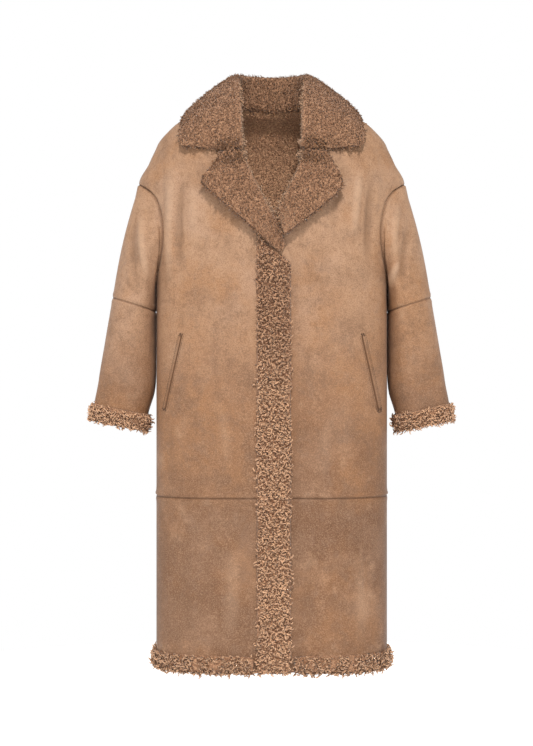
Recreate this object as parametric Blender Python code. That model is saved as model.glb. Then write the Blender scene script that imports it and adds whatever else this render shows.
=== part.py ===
"""A long double-faced coat with curly pile facings, standing hollow as it is worn.

The hide is suede outside and short dense pile inside. Collar and lapels show that pile, and the
front edge, the hem and the cuffs carry a band of longer curls.

Metres, +Z up. The origin is the middle of the neck base, where the wearer's shoulders hold the
coat. The front faces -Y and +X is the wearer's left. Each cloth piece is a wall between an outer
and an inner grid of points, and pieces that are sewn together stay SEAM_GAP apart.
"""

import math
from bisect import bisect_right
from collections import namedtuple

import bmesh
import bpy
from mathutils import Vector
from mathutils.bvhtree import BVHTree

# Driving sizes
SEAM_GAP = 0.0003
HIDE = 0.005  # suede and its short inside pile
FACING = 0.008  # the layer that makes the collar and the lapels, pile included
CURL = 0.0095  # how far the long curly pile stands out of the suede
PANEL_BOTTOM = -1.120
HEM_BOTTOM = -1.124
HEM_TOP = -1.086
THIGH_SEAM = -0.777
ARMHOLE_TOP = -0.143
ARMHOLE_BOTTOM = -0.350
ARMHOLE_REACH = 0.075  # how far the armhole comes forwards and back
ARMHOLE_GAP = 0.0006  # the seam's faces are twisted, so they need a little more room
NECK_LEVEL = 0.024
GORGE_LEVEL = -0.083
BREAK_LEVEL = -0.300  # where the lapels start to turn back
STRIP = 0.069  # width of the curly band down the front edge
ROLL = 0.008  # how far the turned edge of a lapel stands past its panel
STRIP_TOP = -0.309  # the band's highest point at the free edge, under the lapel's lower end
STRIP_CLEARANCE = 0.0055  # the left hem band stops this far from the right front's edge
UNDERLAP = 0.0075  # how far the left front lies inside the right one
CREST_RADIUS = 0.007

RIGHT, LEFT = -1, 1  # the wearer's right has negative X
FRONT_COLUMNS = 9  # from the side seam to the strip
STRIP_COLUMNS = 3
BACK_COLUMNS = 20

# The coat's level sections: half the width, the depth in front and behind, how boxy the section
# is, how far its middle dips below its sides, and how far the dropped shoulder spreads the side.
Section = namedtuple("Section", "level half_width front back power dip spread")
SECTIONS = (
    Section(-1.130, 0.2350, 0.1220, 0.1210, 3.00, 0.000, 0.0000),
    Section(-0.777, 0.2350, 0.1240, 0.1210, 3.00, 0.000, 0.0000),
    Section(-0.350, 0.2350, 0.1250, 0.1190, 3.00, 0.000, 0.0000),
    Section(-0.243, 0.2400, 0.1245, 0.1195, 2.80, 0.000, 0.0000),
    Section(-0.200, 0.2435, 0.1235, 0.1200, 2.70, 0.000, 0.0010),
    Section(-0.166, 0.2455, 0.1215, 0.1195, 2.60, 0.000, 0.0125),
    Section(-0.143, 0.2460, 0.1190, 0.1180, 2.50, 0.000, 0.0250),
    Section(-0.099, 0.2430, 0.1130, 0.1150, 2.40, 0.000, 0.0070),
    Section(-0.065, 0.2330, 0.1060, 0.1100, 2.30, 0.000, 0.0010),
    Section(-0.029, 0.2040, 0.0950, 0.0990, 2.25, 0.000, 0.0000),
    Section(-0.012, 0.1815, 0.0885, 0.0920, 2.22, 0.002, 0.0000),
    Section(0.010, 0.1280, 0.0770, 0.0790, 2.20, 0.007, 0.0000),
    Section(0.024, 0.0880, 0.0700, 0.0700, 2.15, 0.012, 0.0000),
)
SPREAD_ANGLE = 0.35  # the spread fades within about this angle of the side, in radians

# Where each front ends towards the middle: its free edge, then the roll line, then the neck.
Opening = namedtuple("Opening", "level right left")
OPENING = (
    Opening(-0.300, 0.0380, -0.0310),
    Opening(-0.257, 0.0210, -0.0140),
    Opening(-0.217, 0.0040, 0.0040),
    Opening(-0.182, -0.0140, 0.0210),
    Opening(-0.147, -0.0320, 0.0385),
    Opening(-0.102, -0.0520, 0.0560),
    Opening(-0.083, -0.0580, 0.0580),
    Opening(-0.030, -0.0610, 0.0610),
    Opening(0.000, -0.0660, 0.0660),
    Opening(0.024, -0.0725, 0.0725),
)

LOWER_LEVELS = (-1.120, -1.105, -1.086, -0.985, -0.880)
UPPER_LEVELS = (-0.690, -0.600, -0.510, -0.430)
ARMHOLE_LEVELS = (
    -0.350, -0.344, -0.326, -0.304, -0.280, -0.258, -0.237, -0.213, -0.190, -0.167, -0.151, -0.1455,
    -0.143,
)
SHOULDER_LEVELS = (-0.127, -0.108, -0.083, -0.062, -0.044, -0.030, -0.017, -0.004, 0.010, 0.024)

# Soft folds of the body: across is the distance from the middle line, rise is out of the cloth.
Fold = namedtuple("Fold", "face side across top bottom half_width rise")
FOLDS = (
    Fold("front", RIGHT, 0.224, -0.060, -0.200, 0.024, -0.0050),
    Fold("front", LEFT, 0.224, -0.060, -0.200, 0.024, -0.0050),
    Fold("back", RIGHT, 0.222, -0.060, -0.220, 0.026, -0.0050),
    Fold("back", LEFT, 0.222, -0.060, -0.220, 0.026, -0.0050),
    Fold("front", RIGHT, 0.120, -0.620, -1.300, 0.050, 0.0030),
    Fold("front", LEFT, 0.135, -0.700, -1.300, 0.050, 0.0028),
    Fold("front", RIGHT, 0.196, -0.560, -1.250, 0.040, -0.0030),
    Fold("front", LEFT, 0.200, -0.600, -1.250, 0.040, -0.0026),
    Fold("back", RIGHT, 0.090, -0.220, -1.300, 0.060, 0.0040),
    Fold("back", LEFT, 0.110, -0.300, -1.300, 0.060, 0.0035),
    Fold("back", RIGHT, 0.175, -0.500, -1.300, 0.050, -0.0035),
    Fold("back", LEFT, 0.180, -0.450, -1.300, 0.050, -0.0030),
)

# Rings of the lower sleeve, from the elbow seam to the end. The tilt lifts the outer side.
Ring = namedtuple("Ring", "along centre_x centre_z half_width half_depth tilt inner_power")
RINGS = (
    Ring(0.00, 0.2828, -0.3895, 0.0445, 0.0820, 18.0, 3.0),
    Ring(0.42, 0.2915, -0.4890, 0.0530, 0.0680, 14.0, 2.7),
    Ring(0.68, 0.2975, -0.5550, 0.0580, 0.0560, 12.5, 2.5),
    Ring(0.86, 0.3080, -0.6010, 0.0563, 0.0455, 12.0, 2.3),
    Ring(1.00, 0.3125, -0.6360, 0.0560, 0.0440, 12.0, 2.3),
    Ring(1.10, 0.3157, -0.6610, 0.0560, 0.0440, 12.0, 2.3),
)
OUTER_POWER = 2.2
ELBOW_SAMPLE = 0.02  # both sides of the elbow seam take their wall's direction here
UPPER_SLEEVE_STEPS = (0.09, 0.20, 0.32, 0.45, 0.59, 0.73, 0.87, 0.998)
LOWER_SLEEVE_STEPS = (0.0015, 0.20, 0.42, 0.68, 0.86, 0.93, 1.00)

# Ridges of the upper sleeve, slanting from the armhole towards the elbow.
Ridge = namedtuple("Ridge", "side turn_top turn_bottom half_turn rise")
RIDGES = (
    Ridge(RIGHT, 62.0, 118.0, 26.0, 0.0045),
    Ridge(LEFT, 70.0, 124.0, 24.0, 0.0045),
    Ridge(RIGHT, 290.0, 240.0, 26.0, 0.0040),
    Ridge(LEFT, 296.0, 246.0, 26.0, 0.0040),
)

# Each lapel: from a level on its roll line, the point that its outer edge reaches.
Reach = namedtuple("Reach", "level edge_x edge_z")
RIGHT_LAPEL = (
    Reach(-0.280, 0.0180, -0.2936),
    Reach(-0.258, -0.0020, -0.2781),
    Reach(-0.237, -0.0250, -0.2577),
    Reach(-0.213, -0.0520, -0.2325),
    Reach(-0.190, -0.0790, -0.2100),
    Reach(-0.167, -0.1050, -0.1872),
    Reach(-0.151, -0.1215, -0.1723),
    Reach(-0.143, -0.1300, -0.1630),
    Reach(-0.127, -0.1399, -0.1525),
    Reach(-0.108, -0.1260, -0.1342),
    Reach(-0.083, -0.0921, -0.0897),
)
LEFT_LAPEL = (
    Reach(-0.213, 0.0262, -0.2590),
    Reach(-0.190, 0.0560, -0.2370),
    Reach(-0.167, 0.0860, -0.2131),
    Reach(-0.151, 0.1100, -0.1930),
    Reach(-0.143, 0.1362, -0.1701),
    Reach(-0.127, 0.1374, -0.1466),
    Reach(-0.108, 0.1197, -0.1191),
    Reach(-0.083, 0.1050, -0.0897),
)

# A lapel's section: round the roll line in shares of the lip, then across the flap in shares of
# its width. Heights are out of the panel, and each flap place gives its thickness's share.
LipPoint = namedtuple("LipPoint", "over height under_over under_height")
LIP = (
    LipPoint(0.30, -HIDE, 1.0, -HIDE),
    LipPoint(0.02, -0.0015, 1.0, -0.0025),
    LipPoint(0.02, 0.0050, 1.0, 0.0003),
    LipPoint(0.35, 0.0105, None, 0.0011),
)
LIP_PAST = 0.0015  # the last under point lies this far past the panel's turned edge
FlapPlace = namedtuple("FlapPlace", "share thickness sink")
FLAP = (
    FlapPlace(0.00, 1.00, 0.0),
    FlapPlace(0.33, 1.00, 0.0),
    FlapPlace(0.66, 1.00, 0.0),
    FlapPlace(0.93, 1.00, 0.0),
    FlapPlace(1.00, 0.55, 0.0012),
)
FLAP_LIFT = 0.0016  # the flap's clearance at the roll line
FLAP_STAND = 0.0120  # how much more its outer edge stands off the chest

# The collar from the middle of the back to its front end: the top of its roll, and its edge.
Leaf = namedtuple("Leaf", "place roll_x roll_y roll_z edge_x edge_y edge_z droop")
LEAVES = (
    Leaf(0.000, 0.0000, 0.0735, 0.0945, 0.0000, 0.1120, -0.0280, 12.0),
    Leaf(0.080, 0.0235, 0.0722, 0.0950, 0.0520, 0.1105, -0.0280, 12.0),
    Leaf(0.167, 0.0480, 0.0620, 0.0950, 0.1050, 0.0950, -0.0260, 14.0),
    Leaf(0.333, 0.0700, 0.0280, 0.0905, 0.1690, 0.0490, -0.0080, 20.0),
    Leaf(0.500, 0.0695, -0.0260, 0.0660, 0.1810, -0.0120, -0.0030, 22.0),
    Leaf(0.643, 0.0690, -0.0800, 0.0180, 0.1860, -0.0560, -0.0270, 18.0),
    Leaf(0.786, 0.0688, -0.1070, -0.0220, 0.1880, -0.0760, -0.0500, 14.0),
    Leaf(1.000, 0.0688, -0.1230, -0.0830, 0.1840, -0.0940, -0.0778, 10.0),
)
NECK_STEPS = 6  # stations along the neck's top edge, on each side
NECK_SHARE = 0.5  # the share of a half collar that lies on that edge
STAND_LEAN = 0.35  # how much the stand leans in as it rises behind the neck
CREST_TURNS = (0, 30, 60, 90)
LEAF_STEPS = (0.14, 0.30, 0.48, 0.66, 0.84, 1.0)
LEAF_SPRING = 0.8  # how straight the leaf sets off from the roll, as a share of its length
LEAF_START = 0.02
NOTCH_X = 0.0921
NOTCH_Z = -0.0897
CORNER_X = 0.184
CORNER_Z = -0.0778

# Slanted side pockets: their upper and lower ends on the panel.
Pocket = namedtuple("Pocket", "top_x top_z bottom_x bottom_z")
POCKET = Pocket(0.180, -0.453, 0.2145, -0.602)
WELT_WIDTH = 0.008
WELT_THICK = 0.0022
WELT_LIFT = 0.0007
WELT_STEPS = 10


# Reading the tables

def smoothstep(low, high, value):
    share = min(1.0, max(0.0, (value - low) / (high - low)))
    return share * share * (3 - 2 * share)


def mix(first, second, share):
    return first + (second - first) * share


def read(table, at, column):
    """A column at a place along the table's first column, on a curve that never overshoots."""
    keys = [row[0] for row in table]
    values = [getattr(row, column) for row in table]
    if at <= keys[0]:
        return values[0]
    if at >= keys[-1]:
        return values[-1]
    slopes = [
        (values[i + 1] - values[i]) / (keys[i + 1] - keys[i]) for i in range(len(keys) - 1)
    ]

    def tangent(i):
        if i == 0 or i == len(slopes):
            return slopes[min(i, len(slopes) - 1)]
        before, after = slopes[i - 1], slopes[i]
        return 0.0 if before * after <= 0 else 2 * before * after / (before + after)

    i = bisect_right(keys, at) - 1
    span = keys[i + 1] - keys[i]
    t = (at - keys[i]) / span
    return (
        values[i] * (1 + 2 * t) * (1 - t) ** 2
        + span * tangent(i) * t * (1 - t) ** 2
        + values[i + 1] * t * t * (3 - 2 * t)
        + span * tangent(i + 1) * t * t * (t - 1)
    )


# The body's surface. An angle is 0 at the side seam, 90 degrees at the middle of the front and
# -90 at the middle of the back, on either side of the coat.

def fold_rise(side, angle, across, level):
    face = "front" if angle > 0 else "back"
    rise = 0.0
    for fold in FOLDS:
        if fold.face != face or fold.side != side:
            continue
        near = abs(across - fold.across) / fold.half_width
        if near < 1:
            middle = (fold.top + fold.bottom) / 2
            half = (fold.top - fold.bottom) / 2
            along = abs(level - middle) / half
            if along < 1:
                rise += fold.rise * (1 - near * near) ** 2 * (1 - along ** 4) ** 2
    return rise


def overlap_step(side, across, level):
    """How far the left front is pressed inwards where the right one covers it."""
    if side == RIGHT:
        return 0.0
    cover = read(OPENING, level, "right")
    return UNDERLAP * (1 - smoothstep(cover + 0.010, cover + 0.052, across))


def surface(side, angle, level):
    half_width = read(SECTIONS, level, "half_width")
    depth = read(SECTIONS, level, "front" if angle > 0 else "back")
    power = read(SECTIONS, level, "power")
    c, s = math.cos(angle), math.sin(angle)
    radius = (abs(c / half_width) ** power + abs(s / depth) ** power) ** (-1 / power)
    across = radius * c
    radius += fold_rise(side, angle, across, level)
    if angle > 0:
        radius -= overlap_step(side, across, level)
    dip = read(SECTIONS, level, "dip") * s * s
    wider = read(SECTIONS, level, "spread") * math.exp(-((angle / SPREAD_ANGLE) ** 2))
    return Vector((side * (radius * c + wider), -radius * s, level - dip))


def body_point(side, angle, level, out=0.0):
    """A point of the body's outside, moved out of it."""
    point = surface(side, angle, level)
    if out == 0.0:
        return point
    turn, rise = 0.004, 0.0015
    across = surface(side, angle + turn, level) - surface(side, angle - turn, level)
    along = surface(side, angle, level + rise) - surface(side, angle, level - rise)
    normal = across.cross(along).normalized()
    outwards = Vector((side * math.cos(angle), -math.sin(angle), 0))
    return point + normal * (out if normal.dot(outwards) > 0 else -out)


def angle_at_depth(level, depth_out, face):
    """The angle at which the section stands this far in front of, or behind, the side seam."""
    half_width = read(SECTIONS, level, "half_width")
    depth = read(SECTIONS, level, face)
    power = read(SECTIONS, level, "power")
    across = half_width * (1 - (depth_out / depth) ** power) ** (1 / power)
    angle = math.atan2(depth_out, across)
    return angle if face == "front" else -angle


def angle_at_across(level, across):
    """The front's angle at this distance from the middle line, negative past the middle."""
    half_width = read(SECTIONS, level, "half_width")
    depth = read(SECTIONS, level, "front")
    power = read(SECTIONS, level, "power")
    return math.atan2(depth * (1 - (abs(across) / half_width) ** power) ** (1 / power), across)


def front_point(side, across, level, out=0.0):
    return body_point(side, angle_at_across(level, across), level, out)


def spread(level, face, start, end, steps, seam=None):
    """Angles from start to end, evenly on the cloth. Where an armhole has cut the edge back from
    its side seam, only the columns near it move."""
    half_width = read(SECTIONS, level, "half_width")
    depth = read(SECTIONS, level, face)

    def to_ellipse(angle):
        return math.atan2(math.sin(angle) / depth, math.cos(angle) / half_width)

    first, last = to_ellipse(start), to_ellipse(end)
    even = first if seam is None else to_ellipse(seam)
    found = []
    for step in range(steps + 1):
        share = step / steps
        turn = mix(even, last, share) + (first - even) * (1 - share) ** 2
        found.append(math.atan2(depth * math.sin(turn), half_width * math.cos(turn)))
    return found


def armhole_turn(level):
    """0 at the armhole's top and 180 degrees at its bottom."""
    middle = (ARMHOLE_TOP + ARMHOLE_BOTTOM) / 2
    half = (ARMHOLE_TOP - ARMHOLE_BOTTOM) / 2
    return math.acos(min(1.0, max(-1.0, (level - middle) / half)))


def side_depth(level):
    """How far a panel's side edge stands from the side seam: only the armhole takes it away."""
    if ARMHOLE_BOTTOM < level < ARMHOLE_TOP:
        return max(SEAM_GAP / 2, ARMHOLE_REACH * math.sin(armhole_turn(level)) ** 0.85)
    return SEAM_GAP / 2


def roll_lip(level):
    return ROLL * smoothstep(BREAK_LEVEL, -0.262, level)


def visible_edge(side, level):
    """The front's free edge or roll line as it shows, as a distance from the middle line."""
    column = "right" if side == RIGHT else "left"
    return side * read(OPENING, level, column)


def panel_edge(side, level):
    return visible_edge(side, level) + roll_lip(level)


# Building walls

def make_object(name, mesh, material):
    mesh.materials.append(material)
    mesh.shade_smooth()
    mesh.set_sharp_from_angle(angle=math.radians(40))
    piece = bpy.data.objects.new(name, mesh)
    bpy.context.scene.collection.objects.link(piece)
    piece.parent = bpy.data.objects["neck_base"]
    return piece


def wall(name, outer, inner, material, ring=False):
    """One closed solid between two grids of points; a ring's columns run on into each other."""
    shape = bmesh.new()
    rows, columns = len(outer), len(outer[0])
    outside = [[shape.verts.new(point) for point in row] for row in outer]
    inside = [[shape.verts.new(point) for point in row] for row in inner]
    last = columns if ring else columns - 1

    def strip(first, second, steps, closed):
        for i in range(steps):
            j = (i + 1) % len(first) if closed else i + 1
            shape.faces.new((first[i], first[j], second[j], second[i]))

    for row in range(rows - 1):
        strip(outside[row], outside[row + 1], last, ring)
        strip(inside[row], inside[row + 1], last, ring)
    strip(outside[0], inside[0], last, ring)
    strip(outside[-1], inside[-1], last, ring)
    if not ring:
        for column in (0, -1):
            strip(
                [row[column] for row in outside], [row[column] for row in inside], rows - 1, False
            )
    bmesh.ops.recalc_face_normals(shape, faces=shape.faces)
    mesh = bpy.data.meshes.new(name)
    shape.to_mesh(mesh)
    shape.free()
    return make_object(name, mesh, material)


def finish(name, colour, roughness):
    material = bpy.data.materials.new(name)
    material.use_nodes = True
    shader = material.node_tree.nodes["Principled BSDF"]
    shader.inputs["Base Color"].default_value = (*colour, 1)
    shader.inputs["Roughness"].default_value = roughness
    shader.inputs["Metallic"].default_value = 0.0
    return material


# Fronts and back

def front_angles(side, level):
    """The columns of a front at a level: evenly to the strip's start, then across the strip."""
    edge = panel_edge(side, level)
    start = angle_at_depth(level, side_depth(level), "front")
    half_width = read(SECTIONS, level, "half_width")
    strip = STRIP + (STRIP_CLEARANCE if side == LEFT else 0.0)
    strip_start = edge + min(strip, 0.45 * (half_width - edge))
    middle = angle_at_across(level, strip_start)
    end = angle_at_across(level, edge)
    if middle < start:
        middle = mix(start, end, 0.6)
    seam = angle_at_depth(level, SEAM_GAP / 2, "front")
    body = spread(level, "front", start, middle, FRONT_COLUMNS, seam)
    strip = spread(level, "front", middle, end, STRIP_COLUMNS)
    return body + strip[1:]


def front_grid(side, levels, out):
    return [
        [body_point(side, angle, level, out) for angle in front_angles(side, level)]
        for level in levels
    ]


def back_grid(levels, out):
    """The whole width of the back, from the wearer's right side seam to the left one."""
    rows = []
    for level in levels:
        start = angle_at_depth(level, side_depth(level), "back")
        seam = angle_at_depth(level, SEAM_GAP / 2, "back")
        half = spread(level, "back", start, -math.pi / 2, BACK_COLUMNS // 2, seam)
        right = [body_point(RIGHT, angle, level, out) for angle in half]
        left = [body_point(LEFT, angle, level, out) for angle in half]
        middle = (right[-1] + left[-1]) / 2
        rows.append(right[:-1] + [middle] + left[-2::-1])
    return rows


def lower_levels():
    return (*LOWER_LEVELS, THIGH_SEAM - SEAM_GAP / 2)


def upper_levels():
    return (THIGH_SEAM + SEAM_GAP / 2, *UPPER_LEVELS, *ARMHOLE_LEVELS, *SHOULDER_LEVELS)


def make_panels(suede):
    for half, levels in (("lower", lower_levels()), ("upper", upper_levels())):
        for side, name in ((RIGHT, "front_right"), (LEFT, "front_left")):
            outer = front_grid(side, levels, 0.0)
            inner = front_grid(side, levels, -HIDE)
            wall(f"{name}_{half}", outer, inner, suede)
        wall(f"back_{half}", back_grid(levels, 0.0), back_grid(levels, -HIDE), suede)


# Sleeves. A turn is 0 at the outer side, 90 degrees in front and 180 at the body's side.

def armhole_turns():
    """The turns of the armhole's points, down its front and up its back."""
    down = [armhole_turn(level) for level in reversed(ARMHOLE_LEVELS)]
    return down + [2 * math.pi - turn for turn in reversed(down[1:-1])]


def armhole_point(side, turn, out=0.0):
    middle = (ARMHOLE_TOP + ARMHOLE_BOTTOM) / 2
    level = middle + (ARMHOLE_TOP - ARMHOLE_BOTTOM) / 2 * math.cos(turn)
    face = "front" if turn <= math.pi else "back"
    depth = ARMHOLE_REACH * max(0.0, abs(math.sin(turn))) ** 0.85
    return body_point(side, angle_at_depth(level, depth, face), level, out)


def ring_point(side, turn, along):
    """A point of the lower sleeve's outside."""
    width, depth = read(RINGS, along, "half_width"), read(RINGS, along, "half_depth")
    tilt = math.radians(read(RINGS, along, "tilt"))
    power = OUTER_POWER if math.cos(turn) > 0 else read(RINGS, along, "inner_power")
    polar = math.atan2(depth * math.sin(turn), width * math.cos(turn))
    c, s = math.cos(polar), math.sin(polar)
    radius = (abs(c / width) ** power + abs(s / depth) ** power) ** (-1 / power)
    outwards = Vector((side * math.cos(tilt), 0, math.sin(tilt)))
    centre = Vector((side * read(RINGS, along, "centre_x"), 0, read(RINGS, along, "centre_z")))
    return centre + outwards * radius * c + Vector((0, -radius * s, 0))


def ring_normal(side, turn, along):
    across = ring_point(side, turn + 0.02, along) - ring_point(side, turn - 0.02, along)
    down = ring_point(side, turn, along + 0.01) - ring_point(side, turn, along - 0.01)
    normal = across.cross(down).normalized()
    outwards = Vector((side * math.cos(turn), -math.sin(turn), 0))
    return normal if normal.dot(outwards) > 0 else -normal


def ridge_rise(side, turn, share):
    rise = 0.0
    for ridge in RIDGES:
        if ridge.side == side:
            centre = mix(ridge.turn_top, ridge.turn_bottom, share)
            near = abs(math.degrees(turn) - centre) / ridge.half_turn
            if near < 1:
                rise += ridge.rise * (1 - near * near) ** 2 * math.sin(math.pi * share)
    return rise


def upper_sleeve_point(side, turn, share):
    """Between the armhole and the elbow seam, filled out a little as cloth over an arm is."""
    start, end = armhole_point(side, turn), ring_point(side, turn, 0.0)
    outwards = Vector((side * math.cos(turn), -math.sin(turn), 0))
    fill = 0.006 * (0.5 + 0.5 * math.cos(turn)) * math.sin(math.pi * share)
    point = start.lerp(end, share)
    fold = 0.0045 * (0.5 - 0.5 * math.cos(turn)) ** 2 * (1 - share) ** 3
    point += Vector((side * fold, 0, 0))
    return point + outwards * (fill + ridge_rise(side, turn, share))


def seam_directions(side, turns):
    """At each armhole point, along the cloth and away from the body's panel."""
    points = [armhole_point(side, turn) for turn in turns]
    found = []
    for i, turn in enumerate(turns):
        tangent = points[(i + 1) % len(points)] - points[i - 1]
        outward = armhole_point(side, turn, 0.001) - points[i]
        away = tangent.cross(outward).normalized()
        inwards = Vector((points[i].x, 0, (ARMHOLE_TOP + ARMHOLE_BOTTOM) / 2)) - points[i]
        found.append(away if away.dot(inwards) > 0 else -away)
    return found


def sleeve_normals(grid, side, turns):
    """Each point's normal from its neighbours on the grid."""
    found = []
    for r, row in enumerate(grid):
        above, below = grid[max(0, r - 1)], grid[min(len(grid) - 1, r + 1)]
        normals = []
        for c, turn in enumerate(turns):
            across = row[(c + 1) % len(row)] - row[c - 1]
            normal = across.cross(below[c] - above[c]).normalized()
            outwards = Vector((side * math.cos(turn), -math.sin(turn), 0))
            normals.append(normal if normal.dot(outwards) > 0 else -normal)
        found.append(normals)
    return found


def make_upper_sleeve(side, name, suede):
    turns = armhole_turns()
    away = seam_directions(side, turns)
    edge_out = [armhole_point(side, turn) for turn in turns]
    edge_in = [armhole_point(side, turn, -HIDE) for turn in turns]
    seam = [point + way * ARMHOLE_GAP for point, way in zip(edge_out, away)]
    sideways = Vector((side * 0.0038, 0, 0))
    turned = [point + way * 0.0038 + sideways for point, way in zip(edge_out, away)]
    rows = [
        [upper_sleeve_point(side, turn, share) for turn in turns] for share in UPPER_SLEEVE_STEPS
    ]
    outer = [seam, turned, *rows]
    normals = sleeve_normals(outer, side, turns)
    inner = [
        [point - normal * HIDE for point, normal in zip(*pair)] for pair in zip(outer, normals)
    ]
    inner[0] = [point + way * ARMHOLE_GAP for point, way in zip(edge_in, away)]
    elbow = [ring_normal(side, turn, ELBOW_SAMPLE) for turn in turns]
    inner[-1] = [point - normal * HIDE for point, normal in zip(outer[-1], elbow)]
    wall(f"{name}_upper", outer, inner, suede, ring=True)


def make_lower_sleeve(side, name, suede):
    turns = armhole_turns()
    outer = [[ring_point(side, turn, along) for turn in turns] for along in LOWER_SLEEVE_STEPS]
    inner = [
        [
            ring_point(side, turn, along) - ring_normal(side, turn, max(ELBOW_SAMPLE, along)) * HIDE
            for turn in turns
        ]
        for along in LOWER_SLEEVE_STEPS
    ]
    wall(f"{name}_lower", outer, inner, suede, ring=True)


# Curly bands, each on its panel's own points

Band = namedtuple("Band", "height out")
HEM_BAND = (
    Band(HEM_TOP, 0.35),
    Band(-1.092, 0.80),
    Band(-1.105, 1.00),
    Band(-1.118, 0.85),
    Band(HEM_BOTTOM, 0.40),
)
PLACKET_LEVELS = (
    HEM_BOTTOM, -1.118, -1.105, -1.092, -1.086, -0.985, -0.880, -0.777, -0.690, -0.600, -0.510,
    -0.430, -0.344,
)
PLACKET_TOPS = (Band(-0.012, 0.90), Band(-0.002, 0.45))  # below the lapel's outer edge

# The placket's columns from its inner edge to the free one, and the cuff's rings along the sleeve.
Column = namedtuple("Column", "across out")
PLACKET_COLUMNS = (
    Column(0.00, 0.35),
    Column(0.08, 0.90),
    Column(0.36, 1.00),
    Column(0.64, 1.00),
    Column(0.92, 0.90),
    Column(1.00, 0.35),
)
CuffRing = namedtuple("CuffRing", "along out")
CUFF_RINGS = (
    CuffRing(0.860, 0.35),
    CuffRing(0.885, 0.85),
    CuffRing(0.930, 1.00),
    CuffRing(0.980, 0.85),
    CuffRing(1.015, 0.40),
)
CUFF_GAP = 0.0004


def make_hem(long_pile):
    """The hem's band: the fronts' stop at the strip, and the placket's band meets the right one."""
    for side, name in ((RIGHT, "hem_trim_right"), (LEFT, "hem_trim_left")):
        angles = front_angles(side, HEM_BOTTOM)[: FRONT_COLUMNS + 1]
        outer, inner = [], []
        for band in HEM_BAND:
            outer.append([body_point(side, a, band.height, CURL * band.out) for a in angles])
            inner.append([body_point(side, a, band.height, SEAM_GAP) for a in angles])
        wall(name, outer, inner, long_pile)
    outer = [back_grid((band.height,), CURL * band.out)[0] for band in HEM_BAND]
    inner = [back_grid((band.height,), SEAM_GAP)[0] for band in HEM_BAND]
    wall("hem_trim_back", outer, inner, long_pile)


def lapel_foot(across):
    """The level of the right lapel's outer edge above a place on the strip."""
    edge = sorted((-reach.edge_x, reach.edge_z) for reach in RIGHT_LAPEL[:4])
    edge = [(panel_edge(RIGHT, PANEL_BOTTOM), STRIP_TOP)] + edge
    for (x0, z0), (x1, z1) in zip(edge, edge[1:]):
        if x0 <= across <= x1:
            return mix(z0, z1, (across - x0) / (x1 - x0))
    return edge[0][1] if across < edge[0][0] else edge[-1][1]


def make_placket(long_pile):
    """The band down the right front's edge. Its top follows the lapel's outer edge."""
    edge = panel_edge(RIGHT, PANEL_BOTTOM)
    places = [edge + (STRIP - SEAM_GAP) * (1 - column.across) for column in PLACKET_COLUMNS]
    thinned = {band.height: band.out for band in HEM_BAND[-2:]}
    rows = [([level] * len(places), thinned.get(level, 1.0)) for level in PLACKET_LEVELS]
    for band in PLACKET_TOPS:
        rows.append(([lapel_foot(across) + band.height for across in places], band.out))
    outer, inner = [], []
    for levels, share in rows:
        outer.append(
            [
                front_point(RIGHT, across, level, CURL * min(column.out, share))
                for across, level, column in zip(places, levels, PLACKET_COLUMNS)
            ]
        )
        inner.append(
            [front_point(RIGHT, across, level, SEAM_GAP) for across, level in zip(places, levels)]
        )
    wall("placket_trim", outer, inner, long_pile)


def make_cuff(side, name, long_pile):
    turns = armhole_turns()
    outer, inner = [], []
    for ring in CUFF_RINGS:
        points = [ring_point(side, turn, ring.along) for turn in turns]
        normals = [ring_normal(side, turn, ring.along) for turn in turns]
        outer.append([p + n * CURL * ring.out for p, n in zip(points, normals)])
        inner.append([p + n * CUFF_GAP for p, n in zip(points, normals)])
    wall(name, outer, inner, long_pile, ring=True)


# Lapels

def gorge_line(across):
    """The seam between lapel and collar, and past its notch the collar's front end."""
    start = 0.0574
    if across <= NOTCH_X:
        return mix(GORGE_LEVEL, NOTCH_Z, (across - start) / (NOTCH_X - start))
    return mix(NOTCH_Z, CORNER_Z, (across - NOTCH_X) / (CORNER_X - NOTCH_X))


def make_lapel(side, name, reaches, pile):
    """A front turned back on itself: its edge wraps the panel's, and its flap stands off the chest."""
    outer, inner = [], []
    for reach in reaches:
        level = reach.level
        roll, lip = visible_edge(side, level), roll_lip(level)
        stand = 0.35 + 0.65 * smoothstep(-0.290, -0.200, level)
        edge = side * reach.edge_x

        def place(share, out):
            across = mix(roll, edge, share)
            return front_point(side, across, mix(level, reach.edge_z, share), out)

        def lip_place(distance, out):
            return front_point(side, roll + distance, level, out)

        seat = lip - (SEAM_GAP if reach is not reaches[-1] else 4 * SEAM_GAP)
        top, under = [], []
        for point in LIP:
            height = point.height * (stand if point.height > 0 else 1.0)
            top.append(lip_place(point.over * lip, height))
            past = lip + LIP_PAST if point.under_over is None else point.under_over * seat
            under.append(lip_place(past, point.under_height))
        width = math.hypot(edge - roll, reach.edge_z - level)
        first = max(0.30, min(0.6, (lip + 0.004) / width))
        for flap in FLAP:
            share = mix(first, 1.0, flap.share)
            lift = (FLAP_LIFT + FLAP_STAND * smoothstep(0.0, 1.1, share)) * stand
            thick = FACING * (0.45 + 0.55 * stand) * flap.thickness
            top.append(place(share, lift + thick + flap.sink))
            under.append(place(share, lift + flap.sink))
        if reach is reaches[-1]:
            for point in (*top, *under):
                point.z = gorge_line(abs(point.x)) - SEAM_GAP / 2
        outer.append(top)
        inner.append(under)
    wall(name, outer, inner, pile)


# Collar

def neck_corner():
    """The angle at which the neck's top edge turns down into a front's edge."""
    return angle_at_across(NECK_LEVEL, panel_edge(LEFT, NECK_LEVEL))


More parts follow.
